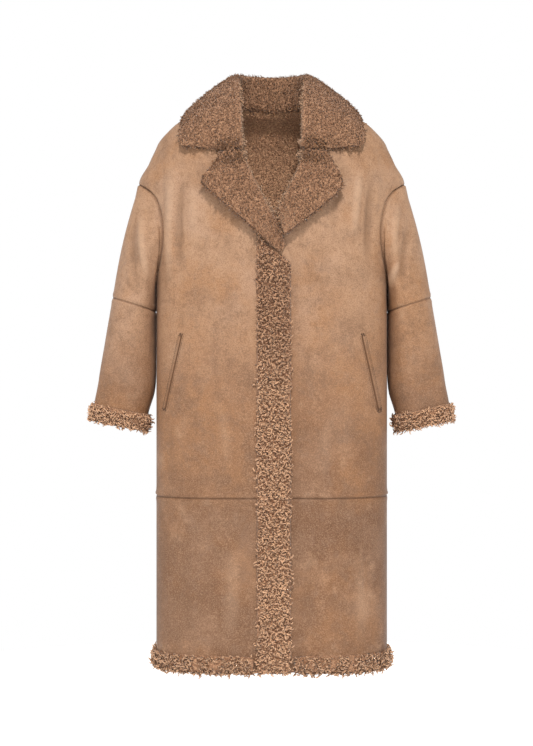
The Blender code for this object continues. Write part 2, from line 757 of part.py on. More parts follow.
def collar_stations():
    """(place, foot) along a half collar: foot is the middle of the stand's lower edge."""
    found = []
    corner = neck_corner()
    for step in range(NECK_STEPS + 1):
        share = step / NECK_STEPS
        angle = mix(-math.pi / 2, corner, share)
        inward = HIDE / 2
        if angle > 0:
            inward = mix(HIDE / 2, HIDE + FACING / 2 + SEAM_GAP, smoothstep(0, corner, angle))
        foot = body_point(LEFT, angle, NECK_LEVEL, -inward)
        top = max(foot.z, body_point(LEFT, angle, NECK_LEVEL).z)
        found.append((share * NECK_SHARE, Vector((foot.x, foot.y, top + 2 * SEAM_GAP))))
    levels = [level for level in reversed(SHOULDER_LEVELS) if GORGE_LEVEL <= level < NECK_LEVEL]
    for step, level in enumerate(levels, 1):
        across = panel_edge(LEFT, level) - SEAM_GAP - FACING / 2
        foot = front_point(LEFT, across, level, -HIDE / 2)
        found.append((NECK_SHARE + (1 - NECK_SHARE) * step / len(levels), foot))
    return found


def collar_section(place, foot):
    """The collar's middle line at a station, from its foot over the roll to its edge."""
    roll = Vector([read(LEAVES, place, f"roll_{axis}") for axis in "xyz"])
    edge = Vector([read(LEAVES, place, f"edge_{axis}") for axis in "xyz"])
    up = (roll - foot).normalized()
    across = edge - roll
    outwards = (across - up * across.dot(up)).normalized()
    up = (up - outwards * STAND_LEAN).normalized() if place < NECK_SHARE else up
    outwards = (outwards - up * outwards.dot(up)).normalized()
    crest = roll - up * FACING / 2
    centre = crest - up * CREST_RADIUS
    line = []
    arc = [
        centre + (up * math.sin(turn) - outwards * math.cos(turn)) * CREST_RADIUS
        for turn in map(math.radians, CREST_TURNS)
    ]
    line += [foot, foot.lerp(arc[0], 0.5), *arc]
    length = (edge - crest).length
    reach = abs((edge - crest).dot(outwards)) / length
    start_way = outwards * (LEAF_SPRING * length * reach + LEAF_START)
    droop = math.radians(read(LEAVES, place, "droop"))
    way = (edge - crest).normalized()
    sideways = way.cross(up.cross(outwards)).normalized()
    if sideways.dot(up) > 0:
        sideways = -sideways
    end_way = (way * math.cos(droop) + sideways * math.sin(droop)) * length
    for t in LEAF_STEPS:
        line.append(
            crest * (2 * t ** 3 - 3 * t ** 2 + 1)
            + start_way * (t ** 3 - 2 * t ** 2 + t)
            + edge * (3 * t ** 2 - 2 * t ** 3)
            + end_way * (t ** 3 - t ** 2)
        )
    return line, up.cross(outwards).normalized()


def collar_faces(line, across):
    """The show side and the under side of a section, half the thickness off its middle line."""
    show, under = [], []
    for i, point in enumerate(line):
        way = line[min(i + 1, len(line) - 1)] - line[max(i - 1, 0)]
        normal = way.cross(across).normalized()
        if i == 0 and normal.dot(point - line[-1]) < 0:
            across = -across
            normal = -normal
        thick = FACING / 2 * (0.55 if i == len(line) - 1 else 1.0)
        show.append(point + normal * thick)
        under.append(point - normal * thick)
    return show, under


def make_collar(pile):
    halves = []
    stations = collar_stations()
    for place, foot in stations:
        line, across = collar_section(place, foot)
        show, under = collar_faces(line, across)
        if place == 0:
            for point in (*show, *under):
                point.x = 0.0
        if place == 1:
            for point in (*show, *under):
                point.z = gorge_line(abs(point.x)) + SEAM_GAP / 2
        halves.append((show, under))

    def mirrored(points):
        return [Vector((-point.x, point.y, point.z)) for point in points]

    whole = [(mirrored(show), mirrored(under)) for show, under in reversed(halves[1:])] + halves
    wall("collar", [show for show, _ in whole], [under for _, under in whole], pile)


# Pocket welts

def make_welt(side, name, panel, suede):
    """A narrow raised strip along the slanted pocket mouth, laid on the panel's own faces."""
    shape = bmesh.new()
    shape.from_mesh(panel.data)
    tree = BVHTree.FromBMesh(shape)
    top = Vector((POCKET.top_x, 0, POCKET.top_z))
    bottom = Vector((POCKET.bottom_x, 0, POCKET.bottom_z))
    sideways = Vector((-(bottom - top).z, 0, (bottom - top).x)).normalized()
    offsets = (-0.5, -0.25, 0.0, 0.25, 0.5)
    heights = (0.55, 0.95, 1.0, 0.95, 0.55)
    outer, inner = [], []
    for step in range(WELT_STEPS + 1):
        middle = top.lerp(bottom, step / WELT_STEPS)
        upper, lower = [], []
        for offset, height in zip(offsets, heights):
            spot = middle + sideways * WELT_WIDTH * offset
            guess = front_point(side, spot.x, spot.z)
            normal = (front_point(side, spot.x, spot.z, 0.01) - guess).normalized()
            seat = tree.find_nearest(guess)[0]
            lower.append(seat + normal * WELT_LIFT)
            upper.append(seat + normal * (WELT_LIFT + WELT_THICK * height))
        outer.append(upper)
        inner.append(lower)
    shape.free()
    wall(name, outer, inner, suede)


def main():
    for thing in list(bpy.data.objects):
        bpy.data.objects.remove(thing)
    neck = bpy.data.objects.new("neck_base", None)
    bpy.context.scene.collection.objects.link(neck)

    suede = finish("suede", (0.42, 0.25, 0.14), 0.6)
    welt_suede = finish("welt_suede", (0.30, 0.17, 0.10), 0.6)
    short_pile = finish("short_pile", (0.33, 0.20, 0.13), 0.95)
    long_pile = finish("long_pile", (0.42, 0.25, 0.16), 0.95)

    make_panels(suede)
    for side, word in ((RIGHT, "right"), (LEFT, "left")):
        make_upper_sleeve(side, f"sleeve_{word}", suede)
        make_lower_sleeve(side, f"sleeve_{word}", suede)
        make_cuff(side, f"cuff_trim_{word}", long_pile)
        panel = bpy.data.objects[f"front_{word}_upper"]
        make_welt(side, f"pocket_welt_{word}", panel, welt_suede)
    make_hem(long_pile)
    make_placket(long_pile)
    make_lapel(RIGHT, "lapel_right", RIGHT_LAPEL, short_pile)
    make_lapel(LEFT, "lapel_left", LEFT_LAPEL, short_pile)
    make_collar(short_pile)


main()
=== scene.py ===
# %% [markdown]
# # A long double-faced coat with curly pile facings
#
# The coat stands hollow, as it is worn, and faces -Y. Its hide is one layer with two faces: suede
# outside, short curly pile inside. The collar and the lapels turn that pile out, and longer curls
# edge the front, the hem and the cuffs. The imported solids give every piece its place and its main
# form. This script makes the finer cloth that stands for them.

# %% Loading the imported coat
import math
from collections import namedtuple

import bmesh
import bpy
import numpy as np
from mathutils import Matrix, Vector
from mathutils.bvhtree import BVHTree


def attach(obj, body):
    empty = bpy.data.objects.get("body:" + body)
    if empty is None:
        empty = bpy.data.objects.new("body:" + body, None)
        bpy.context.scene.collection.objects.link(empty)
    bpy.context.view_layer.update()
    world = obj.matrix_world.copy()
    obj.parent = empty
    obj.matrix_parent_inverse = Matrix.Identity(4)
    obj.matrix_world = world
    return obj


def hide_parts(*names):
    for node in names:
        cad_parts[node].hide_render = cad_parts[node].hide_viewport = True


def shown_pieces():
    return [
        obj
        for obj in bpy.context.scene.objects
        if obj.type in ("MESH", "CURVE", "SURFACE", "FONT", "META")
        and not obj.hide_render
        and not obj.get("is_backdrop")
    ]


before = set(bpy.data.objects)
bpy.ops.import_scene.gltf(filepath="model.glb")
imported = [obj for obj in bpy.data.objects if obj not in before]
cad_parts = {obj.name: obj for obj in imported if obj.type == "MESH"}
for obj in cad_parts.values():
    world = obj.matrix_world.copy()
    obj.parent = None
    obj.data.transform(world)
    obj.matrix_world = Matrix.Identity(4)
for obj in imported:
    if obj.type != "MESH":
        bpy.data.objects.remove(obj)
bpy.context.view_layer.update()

# %% [markdown]
# ## The camera
#
# The photograph was taken level, from about three metres, with a long lens. The camera comes
# first, because every later choice is judged from it. Its place was fitted from the width of the
# coat at the side seams and the height of its hem.

# %% The camera
CAMERA_PLACE = (-0.0107, -3.0, -0.529)
CAMERA_LENS = 70.6

camera = bpy.data.objects.new("camera", bpy.data.cameras.new("camera"))
camera.data.lens = CAMERA_LENS
camera.location = CAMERA_PLACE
camera.rotation_euler = (math.radians(90), 0, 0)
bpy.context.scene.collection.objects.link(camera)
bpy.context.scene.camera = camera

# %% [markdown]
# ## The coat's own sizes
#
# A coat is drawn from level sections, as a tailor's dummy is measured: half its width, its depth
# in front and behind, and how boxy it is. The tables hold the same values as the solids, so the
# finer cloth lies exactly where the solids do. A curve that never overshoots joins the rows.

# %% Sizes and tables
def table(name, columns, *rows):
    """Rows of values under named columns."""
    Row = namedtuple(name, columns)
    return [Row(*row) for row in rows]


SEAM_GAP = 0.0003
HIDE = 0.005
HEM_BOTTOM = -1.124
PANEL_BOTTOM = -1.120
THIGH_SEAM = -0.777
ARMHOLE_TOP, ARMHOLE_BOTTOM, ARMHOLE_REACH = -0.143, -0.350, 0.075
ARMHOLE_MIDDLE = (ARMHOLE_TOP + ARMHOLE_BOTTOM) / 2
ARMHOLE_HALF = (ARMHOLE_TOP - ARMHOLE_BOTTOM) / 2
ARMHOLE_ROUND = 0.85  # below 1, the armhole is fuller than an oval
ARMHOLE_GAP = 0.0006
NECK_LEVEL = 0.024
BREAK_LEVEL, ROLL_LEVEL = -0.300, -0.262  # where the roll line starts, and is at full width
ROLL = 0.008  # how far the roll line lies outside the opening's edge
UNDERLAP = 0.0075  # how deep the left front sinks under the right one
UNDERLAP_FROM, UNDERLAP_TO = 0.010, 0.052  # past the right front's edge, it rises again
SPREAD_ANGLE = 0.35
RIGHT, LEFT = -1, 1  # the wearer's right has negative X
SIDES = ((RIGHT, "right"), (LEFT, "left"))

SECTIONS = table(
    "Section",
    "level half_width front back power dip spread",
    (-1.130, 0.2350, 0.1220, 0.1210, 3.00, 0.000, 0.0000),
    (-0.777, 0.2350, 0.1240, 0.1210, 3.00, 0.000, 0.0000),
    (-0.350, 0.2350, 0.1250, 0.1190, 3.00, 0.000, 0.0000),
    (-0.243, 0.2400, 0.1245, 0.1195, 2.80, 0.000, 0.0000),
    (-0.200, 0.2435, 0.1235, 0.1200, 2.70, 0.000, 0.0010),
    (-0.166, 0.2455, 0.1215, 0.1195, 2.60, 0.000, 0.0125),
    (-0.143, 0.2460, 0.1190, 0.1180, 2.50, 0.000, 0.0250),
    (-0.099, 0.2430, 0.1130, 0.1150, 2.40, 0.000, 0.0070),
    (-0.065, 0.2330, 0.1060, 0.1100, 2.30, 0.000, 0.0010),
    (-0.029, 0.2040, 0.0950, 0.0990, 2.25, 0.000, 0.0000),
    (-0.012, 0.1815, 0.0885, 0.0920, 2.22, 0.002, 0.0000),
    (0.010, 0.1280, 0.0770, 0.0790, 2.20, 0.007, 0.0000),
    (0.024, 0.0880, 0.0700, 0.0700, 2.15, 0.012, 0.0000),
)
OPENING = table(
    "Opening",
    "level right left",
    (-0.300, 0.0380, -0.0310),
    (-0.257, 0.0210, -0.0140),
    (-0.217, 0.0040, 0.0040),
    (-0.182, -0.0140, 0.0210),
    (-0.147, -0.0320, 0.0385),
    (-0.102, -0.0520, 0.0560),
    (-0.083, -0.0580, 0.0580),
    (-0.030, -0.0610, 0.0610),
    (0.000, -0.0660, 0.0660),
    (0.024, -0.0725, 0.0725),
)
FOLDS = table(
    "Fold",
    "face side across top bottom half_width rise",
    ("front", RIGHT, 0.224, -0.060, -0.200, 0.024, -0.0050),
    ("front", LEFT, 0.224, -0.060, -0.200, 0.024, -0.0050),
    ("back", RIGHT, 0.222, -0.060, -0.220, 0.026, -0.0050),
    ("back", LEFT, 0.222, -0.060, -0.220, 0.026, -0.0050),
    ("front", RIGHT, 0.120, -0.620, -1.300, 0.050, 0.0030),
    ("front", LEFT, 0.135, -0.700, -1.300, 0.050, 0.0028),
    ("front", RIGHT, 0.196, -0.560, -1.250, 0.040, -0.0030),
    ("front", LEFT, 0.200, -0.600, -1.250, 0.040, -0.0026),
    ("back", RIGHT, 0.090, -0.220, -1.300, 0.060, 0.0040),
    ("back", LEFT, 0.110, -0.300, -1.300, 0.060, 0.0035),
    ("back", RIGHT, 0.175, -0.500, -1.300, 0.050, -0.0035),
    ("back", LEFT, 0.180, -0.450, -1.300, 0.050, -0.0030),
)
RINGS = table(
    "Ring",
    "along centre_x centre_z half_width half_depth tilt inner_power",
    (0.00, 0.2828, -0.3895, 0.0445, 0.0820, 18.0, 3.0),
    (0.42, 0.2915, -0.4890, 0.0530, 0.0680, 14.0, 2.7),
    (0.68, 0.2975, -0.5550, 0.0580, 0.0560, 12.5, 2.5),
    (0.86, 0.3080, -0.6010, 0.0563, 0.0455, 12.0, 2.3),
    (1.00, 0.3125, -0.6360, 0.0560, 0.0440, 12.0, 2.3),
    (1.10, 0.3157, -0.6610, 0.0560, 0.0440, 12.0, 2.3),
)
OUTER_POWER = 2.2
RIDGES = table(
    "Ridge",
    "side turn_top turn_bottom half_turn rise",
    (RIGHT, 62.0, 118.0, 26.0, 0.0045),
    (LEFT, 70.0, 124.0, 24.0, 0.0045),
    (RIGHT, 290.0, 240.0, 26.0, 0.0040),
    (LEFT, 296.0, 246.0, 26.0, 0.0040),
)


def smoothstep(low, high, value):
    share = np.clip((value - low) / (high - low), 0, 1)
    return share * share * (3 - 2 * share)


def mix(first, second, share):
    return first + (second - first) * share


def mound(distance, half_width):
    """1 in the middle of a fold or crease, and softly down to 0 at half its width."""
    return (1 - np.clip(np.abs(distance) / half_width, 0, 1) ** 2) ** 2


def oval(c, s, width, depth, power):
    """How far a boxy oval's edge is, in the direction with this cosine and sine."""
    return (np.abs(c / width) ** power + np.abs(s / depth) ** power) ** (-1 / power)


def read(rows, at, column):
    """A column of a table at many places at once."""
    keys = np.array([row[0] for row in rows], float)
    values = np.array([getattr(row, column) for row in rows], float)
    slopes = np.diff(values) / np.diff(keys)
    before, after = slopes[:-1], slopes[1:]
    tangents = np.concatenate([slopes[:1], np.zeros(len(keys) - 2), slopes[-1:]])
    same = np.flatnonzero(before * after > 0)
    tangents[same + 1] = 2 * before[same] * after[same] / (before[same] + after[same])
    at = np.clip(at, keys[0], keys[-1])
    i = np.clip(np.searchsorted(keys, at, side="right") - 1, 0, len(keys) - 2)
    span = keys[i + 1] - keys[i]
    t = (at - keys[i]) / span
    return (
        values[i] * (1 + 2 * t) * (1 - t) ** 2
        + span * tangents[i] * t * (1 - t) ** 2
        + values[i + 1] * t * t * (3 - 2 * t)
        + span * tangents[i + 1] * t * t * (t - 1)
    )


# %% [markdown]
# ## The body's surface
#
# An angle is 0 at the side seam and 90 degrees at the middle of the front. The numbers come in
# arrays, so one call gives a whole grid of points. The cloth's direction out of the body comes
# from its neighbours, and the hide's inside face is the outside one moved in by its thickness.


# %% The body's surface
def fold_rise(side, angle, across, level):
    rise = np.zeros(across.shape)
    for fold in FOLDS:
        if fold.side != side:
            continue
        face = angle > 0 if fold.face == "front" else angle <= 0
        half = (fold.top - fold.bottom) / 2
        along = np.clip(np.abs(level - (fold.top + fold.bottom) / 2) / half, 0, 1)
        near = mound(across - fold.across, fold.half_width)
        rise += np.where(face, fold.rise * near * (1 - along**4) ** 2, 0)
    return rise


def section(level, face="front"):
    """Half the width, the depth and the power of a level section."""
    return [read(SECTIONS, level, column) for column in ("half_width", face, "power")]


def surface(side, angle, level):
    angle, level = np.broadcast_arrays(angle, level)
    half_width, front, power = section(level)
    depth = np.where(angle > 0, front, read(SECTIONS, level, "back"))
    c, s = np.cos(angle), np.sin(angle)
    radius = oval(c, s, half_width, depth, power)
    across = radius * c
    radius = radius + fold_rise(side, angle, across, level)
    if side == LEFT:
        cover = read(OPENING, level, "right")
        rising = smoothstep(cover + UNDERLAP_FROM, cover + UNDERLAP_TO, across)
        pressed = UNDERLAP * (1 - rising)
        radius = radius - np.where(angle > 0, pressed, 0)
    dip = read(SECTIONS, level, "dip") * s * s
    wider = read(SECTIONS, level, "spread") * np.exp(-((angle / SPREAD_ANGLE) ** 2))
    return np.stack([side * (radius * c + wider), -radius * s, level - dip], -1)


def unit(vectors):
    return vectors / np.linalg.norm(vectors, axis=-1, keepdims=True)


def body_normal(side, angle, level):
    turn, rise = 0.004, 0.0015
    across = surface(side, angle + turn, level) - surface(side, angle - turn, level)
    along = surface(side, angle, level + rise) - surface(side, angle, level - rise)
    return unit(side * np.cross(along, across))


def body_point(side, angle, level, out=0.0):
    return surface(side, angle, level) + body_normal(side, angle, level) * out


def angle_at_depth(level, depth_out, face):
    half_width, depth, power = section(level, face)
    across = half_width * (1 - (depth_out / depth) ** power) ** (1 / power)
    angle = np.arctan2(depth_out, across)
    return angle if face == "front" else -angle


def angle_at_across(level, across):
    half_width, depth, power = section(level)
    return np.arctan2(depth * (1 - (np.abs(across) / half_width) ** power) ** (1 / power), across)


def side_depth(level):
    """How far a panel's side edge stands from the side seam: only the armhole takes it away."""
    turn = np.arccos(np.clip((level - ARMHOLE_MIDDLE) / ARMHOLE_HALF, -1, 1))
    return np.maximum(SEAM_GAP / 2, ARMHOLE_REACH * np.sin(turn) ** ARMHOLE_ROUND)


def panel_edge(side, level):
    """The front's free edge, or its roll line, as a distance from the middle line."""
    edge = side * read(OPENING, level, "right" if side == RIGHT else "left")
    return edge + ROLL * smoothstep(BREAK_LEVEL, ROLL_LEVEL, level)


def spread(level, face, start, end, shares):
    """Angles across a panel. Where an armhole cuts its edge back, only the columns near it move."""
    half_width, depth, _ = section(level, face)

    def to_ellipse(angle):
        return np.arctan2(np.sin(angle) / depth, np.cos(angle) / half_width)

    even = to_ellipse(angle_at_depth(level, SEAM_GAP / 2, face))
    first, last = to_ellipse(start), to_ellipse(end)
    turn = mix(even, last, shares) + (first - even) * (1 - shares) ** 2
    return np.arctan2(depth * np.sin(turn), half_width * np.cos(turn))


print("side seam at the chest", np.round(surface(LEFT, np.array([0.0]), np.array([-0.3])), 4))

# %% [markdown]
# ## Creases
#
# Thick hide doesn't wrinkle finely. It bends in a few long soft troughs and ridges, most of them
# below the shoulder and round the arm, and it puckers beside a seam. Each one is a row with its
# own ends, width and depth, read from the photograph in front and laid out alike behind, where
# nothing shows. A bow bends it sideways. The rows give the two ends, half the width, the rise and
# the bow in millimetres.

# %% Creases, placed one by one
Crease = namedtuple("Crease", "face x0 z0 x1 z1 half_width rise bow")
FRONT_CREASES = (
    # the wearer's right front, below the shoulder
    (-198, -105, -203, -360, 15, 3.4, 4),
    (-176, -125, -183, -345, 14, -3.6, 6),
    (-152, -120, -150, -290, 18, 2, 4),
    (-176, -452, -128, -463, 6, -1.3, 4),
    (-181, -400, -178, -452, 10, -2.6, 0),
    (-150, -350, -70, -395, 16, -1.2, 10),
    (-205, -620, -196, -760, 16, -1.8, 4),
    (-110, -560, -85, -740, 20, 1.6, -6),
    # the wearer's left front
    (180, -110, 163, -270, 13, 4, 5),
    (204, -120, 192, -330, 14, -4.2, 5),
    (152, -125, 118, -245, 14, -3.2, 6),
    (128, -120, 94, -215, 16, 2.2, 4),
    (58, -300, 104, -362, 7, -1.3, 3),
    (94, -288, 140, -345, 8, -1.2, -3),
    (78, -432, 142, -505, 8, -1.4, 5),
    (40, -340, 120, -350, 12, -1.1, 6),
    (186, -400, 179, -452, 10, -2.4, 0),
    (205, -625, 198, -765, 16, -1.6, 4),
    (120, -580, 105, -735, 20, 1.4, 6),
    # puckers at the thigh seam
    (-150, -760, -154, -812, 7, -1.2, 2),
    (-112, -770, -120, -806, 6, -1, 0),
    (-52, -782, -66, -826, 7, -1.4, 3),
    (80, -758, 86, -802, 6, -1.1, 2),
    (140, -772, 151, -818, 7, -1.3, 2),
    (192, -750, 185, -790, 6, -1, 0),
    # the skirt
    (-165, -840, -158, -1060, 24, -2, 10),
    (-80, -860, -92, -1080, 26, 1.8, -8),
    (85, -840, 72, -1060, 24, -1.8, 8),
    (165, -870, 176, -1080, 24, 1.8, -6),
)
BACK_CREASES = (
    # the back, laid out like the front
    (-196, -115, -186, -380, 16, -3.8, 6),
    (-168, -120, -150, -300, 18, 3, 6),
    (192, -110, 184, -350, 15, -4, 5),
    (162, -130, 140, -330, 18, 2.8, 8),
    (-95, -90, -40, -150, 20, -1.8, 10),
    (105, -100, 52, -155, 20, -1.6, -10),
    (-150, -400, -50, -460, 20, -2, 16),
    (165, -430, 60, -480, 20, -2.2, -14),
    (-70, -520, 30, -540, 18, -1.4, 10),
    (-130, -560, -142, -755, 22, 2, 6),
    (140, -580, 128, -760, 22, 1.8, 6),
    (-60, -820, -75, -1070, 26, -2, 10),
    (72, -800, 88, -1050, 26, -1.8, 8),
    (4, -860, -8, -1080, 26, 1.6, 4),
    (-122, -762, -128, -808, 7, -1.2, 2),
    (48, -765, 54, -812, 7, -1.2, 2),
    (150, -758, 146, -800, 6, -1.1, 0),
)
FRONT_SLEEVES = (
    # the sleeves, slanting from the armhole to the inside of the elbow
    (-262, -200, -246, -345, 12, 3.6, 6),
    (-280, -215, -264, -372, 12, -3.2, 8),
    (-300, -330, -262, -376, 10, -2, 4),
    (-262, -395, -300, -440, 12, -2, 6),
    (-330, -500, -282, -560, 14, -1.6, 6),
    (258, -300, 236, -362, 11, 3.8, 4),
    (258, -180, 246, -300, 12, 3, 6),
    (282, -220, 262, -370, 12, -3.4, 8),
    (302, -340, 262, -372, 10, -1.8, 4),
    (262, -398, 306, -452, 12, -2, 6),
    (338, -510, 288, -560, 14, -1.6, -6),
)
BACK_SLEEVES = (
    (-290, -220, -262, -365, 12, -3.2, 6),
    (-312, -345, -262, -378, 10, -2.2, 4),
    (-322, -440, -270, -470, 12, -2, 6),
    (288, -230, 262, -362, 12, -3, 6),
    (314, -350, 262, -376, 10, -2.2, -4),
    (326, -455, 272, -480, 12, -2, 6),
)
FACES = (("front", FRONT_CREASES + FRONT_SLEEVES), ("back", BACK_CREASES + BACK_SLEEVES))
CREASES = [Crease(face, *(n / 1000 for n in row)) for face, rows in FACES for row in rows]
CREASE_DEPTH = 1.6  # deepens all the rows alike


def crease_rise(points, normals):
    """How far the creases lift or sink each point of the cloth."""
    rise = np.zeros(points.shape[:-1])
    for crease in CREASES:
        start, end = np.array([crease.x0, crease.z0]), np.array([crease.x1, crease.z1])
        way = end - start
        from_start = points[..., [0, 2]] - start
        along = from_start @ way / (way @ way)
        off = (from_start[..., 0] * way[1] - from_start[..., 1] * way[0]) / np.hypot(*way)
        off = off - crease.bow * np.sin(math.pi * np.clip(along, 0, 1))
        fade = 1 - np.clip(np.abs(2 * along - 1), 0, 1) ** 2
        facing = -normals[..., 1] if crease.face == "front" else normals[..., 1]
        near = mound(off, crease.half_width)
        rise += crease.rise * near * fade * smoothstep(0.0, 0.5, facing)
    return rise * CREASE_DEPTH


print("creases", len(CREASES))

# %% [markdown]
# ## Suede, thread and pile
#
# Suede is a soft mottled brown: broad clouds where the dye took differently, small blotches from
# wear, and a fine nap. It is lighter over the chest, and darker and greyer in the skirt. Pile is
# coloured along each lock, pale at the tip and dark at the root, whose darkness is painted shade
# deep in the gaps between locks. Adding and multiplying sockets in Python keeps every node tree
# here short.


# %% A small language for node trees
class Wire:
    """A socket that can stand in an expression."""

    def __init__(self, graph, socket):
        self.graph, self.socket = graph, socket

    def beside(self, name):
        """Another output of the same node."""
        return Wire(self.graph, self.socket.node.outputs[name])

    def maths(self, operation, first, second):
        return self.graph.node("ShaderNodeMath", {"operation": operation}, {0: first, 1: second})

    def __add__(self, other):
        return self.maths("ADD", self, other)

    def __sub__(self, other):
        return self.maths("SUBTRACT", self, other)

    def __rsub__(self, other):
        return self.maths("SUBTRACT", other, self)

    def __mul__(self, other):
        return self.maths("MULTIPLY", self, other)

    __radd__, __rmul__ = __add__, __mul__


class Graph:
    """A node tree, and short calls that fill it."""

    def __init__(self, tree):
        self.tree = tree

    def put(self, value, socket):
        """Joins a wire to a socket, or sets the socket to a plain value."""
        if isinstance(value, Wire):
            self.tree.links.new(value.socket, socket)
        else:
            socket.default_value = value

    def node(self, kind, settings=None, inputs=None, out=None):
        """Adds a node and gives one output: the one asked for, or else the first in use."""
        node = self.tree.nodes.new(kind)
        for key, value in (settings or {}).items():
            setattr(node, key, value)
        for key, value in (inputs or {}).items():
            self.put(value, node.inputs[key])
        if out is None:
            out = next(number for number, socket in enumerate(node.outputs) if socket.enabled)
        return Wire(self, node.outputs[out])


# %% [markdown]
# A material starts as plain soft cloth. Noises, ramps between two values and blends of colours
# then build its look in the coat's own space, so the mottling runs on from panel to panel.


# %% Finishes
class Finish(Graph):
    """A material and the nodes that make it."""

    def __init__(self, name, roughness, sheen=0.0):
        self.material = bpy.data.materials.new(name)
        self.material.use_nodes = True
        super().__init__(self.material.node_tree)
        for socket, value in (
            ("Roughness", roughness),
            ("Specular IOR Level", 0.25),
            ("Sheen Weight", sheen),
            ("Sheen Roughness", 0.5),
        ):
            self.feed(socket, value)
        self.place = self.node("ShaderNodeTexCoord", out="Object")

    def feed(self, socket, value):
        self.put(value, self.tree.nodes["Principled BSDF"].inputs[socket])

    def noise(self, scale, detail=2.0, roughness=0.5, place=None):
        inputs = {"Vector": place or self.place, "Scale": scale}
        inputs.update({"Detail": detail, "Roughness": roughness})
        return self.node("ShaderNodeTexNoise", {}, inputs, "Fac")

    def attribute(self, name):
        return self.node("ShaderNodeAttribute", {"attribute_name": name}, out="Fac")

    def shifted(self, amount):
        """The place moved along, so that a second noise falls elsewhere."""
        inputs = {0: self.place, 1: (amount, 0.4 * amount, -amount)}
        return self.node("ShaderNodeVectorMath", {"operation": "ADD"}, inputs)

    def slanted(self):
        """The place turned and stretched, so that a noise runs down across the cloth."""
        inputs = {"Vector": self.place, "Rotation": (0.0, math.radians(38), 0.0)}
        inputs["Scale"] = (1.0, 1.0, 0.30)
        return self.node("ShaderNodeMapping", {}, inputs)

    def along(self, axis):
        """The place's distance along one axis."""
        return self.node("ShaderNodeSeparateXYZ", {}, {0: self.place}, axis)

    def ramp(self, value, low, high):
        """0 below low, 1 above high, with a soft rise between."""
        inputs = {"Value": value, "From Min": low, "From Max": high}
        return self.node("ShaderNodeMapRange", {"interpolation_type": "SMOOTHSTEP"}, inputs)

    def blend(self, factor, first, second, how="MIX"):
        inputs = {0: factor}
        for number, value in ((6, first), (7, second)):  # a mix node's two colour sockets
            inputs[number] = value if isinstance(value, Wire) else (*value, 1)
        return self.node("ShaderNodeMix", {"data_type": "RGBA", "blend_type": how}, inputs, 2)

    def bump(self, height, distance, strength):
        inputs = {"Height": height, "Distance": distance, "Strength": strength}
        self.feed("Normal", self.node("ShaderNodeBump", {}, inputs))


# %% [markdown]
# The suede's clouds, patches, blotches and specks are sizes of noise, each mixed into the colour
# before it. The forearms and the skirt's one side are darker, as in the photograph. Seams carry a
# number that fades away from them, and darken the hide, as glue, thread and handling do. Creases
# carry one that paints their tops paler, as highlight, and their troughs darker, as shade. The nap
# is a very fine bump under a shallow, wider grain.


# %% The suede
DARK_BROWN = (0.130, 0.068, 0.036)


def suede_finish(name, darker=0.0):
    suede = Finish(name, roughness=0.62, sheen=0.03)
    ramp = suede.ramp
    clouds = suede.noise(4.6, 5.0, 0.66)
    pink = suede.noise(9.0, 4.0, 0.65, suede.shifted(3.7))
    patches = suede.noise(16.0, 7.0, 0.74)
    worn = suede.noise(30.0, 6.0, 0.72, suede.shifted(8.1))
    blotches = suede.noise(85.0, 4.0, 0.7)
    specks = suede.noise(520.0, 2.0, 0.7)
    rubbed, seam = suede.attribute("rubbed"), suede.attribute("seam")
    aside, height = suede.along("X"), suede.along("Z")
    chest, skirt = ramp(height, -0.64, -0.27), ramp(0 - height, 0.46, 0.90)
    forearm = ramp(aside * aside, 0.056, 0.070) * ramp(0 - height, 0.44, 0.52)
    colour = suede.blend(chest, (0.248, 0.122, 0.060), (0.390, 0.230, 0.137))
    for share, tone, how in (
        (skirt * 0.95, (0.132, 0.061, 0.029), "MIX"),
        (forearm, (0.84, 0.81, 0.79), "MULTIPLY"),
        (ramp(aside, -0.02, 0.16) * skirt, (0.86, 0.81, 0.78), "MULTIPLY"),
        (ramp(clouds, 0.42, 0.62) * (0.72 - skirt * 0.20), (0.300, 0.142, 0.060), "MIX"),
        (ramp(pink, 0.46, 0.66) * (chest * 0.40 + 0.20), (0.400, 0.250, 0.166), "MIX"),
        (ramp(patches, 0.47, 0.62) * (0.60 - chest * 0.30), (0.150, 0.080, 0.046), "MIX"),
        (ramp(1 - patches, 0.54, 0.70) * 0.46, (0.400, 0.240, 0.142), "MIX"),
        (ramp(worn, 0.50, 0.68) * 0.36, (0.190, 0.118, 0.080), "MIX"),
        (ramp(blotches, 0.50, 0.68) * 0.36, (0.170, 0.088, 0.046), "MIX"),
        (ramp(specks, 0.46, 0.66) * 0.42, (0.430, 0.262, 0.160), "MIX"),
        (ramp(1 - specks, 0.46, 0.66) * 0.42, DARK_BROWN, "MIX"),
        # painted highlight on the tops of creases, then painted shade in their troughs
        (ramp(rubbed, 0.0, 1.0) * 0.30, (0.560, 0.385, 0.265), "MIX"),
        (ramp(0 - rubbed, 0.0, 1.0) * 0.40, DARK_BROWN, "MIX"),
        (seam * 0.62 + darker, (0.095, 0.042, 0.018), "MIX"),
    ):
        colour = suede.blend(share, colour, tone, how)
    suede.feed("Base Color", colour)
    suede.feed("Roughness", ramp(patches, 0.3, 0.7) * 0.16 + 0.52)
    grain = suede.noise(230.0, 3.0, 0.6)
    wrinkles = suede.noise(46.0, 3.0, 0.55, suede.slanted())
    suede.bump(grain * 0.30 + specks * 0.22 + blotches * 0.7 + wrinkles * 1.2, 0.0026, 0.6)
    return suede.material


# %% [markdown]
# Pile is pale at a lock's tip and dark at its root, whose darkness is painted shade between the
# locks. Here and there a clump is paler, and some locks are darker all along. Along the front folds
# of collar and lapels the pile is painted paler, as a highlight.


# %% Pile, and the felt below it
# the colour of the painted highlight along the front folds of collar and lapels
ROLL_HIGHLIGHT = (0.620, 0.400, 0.255)


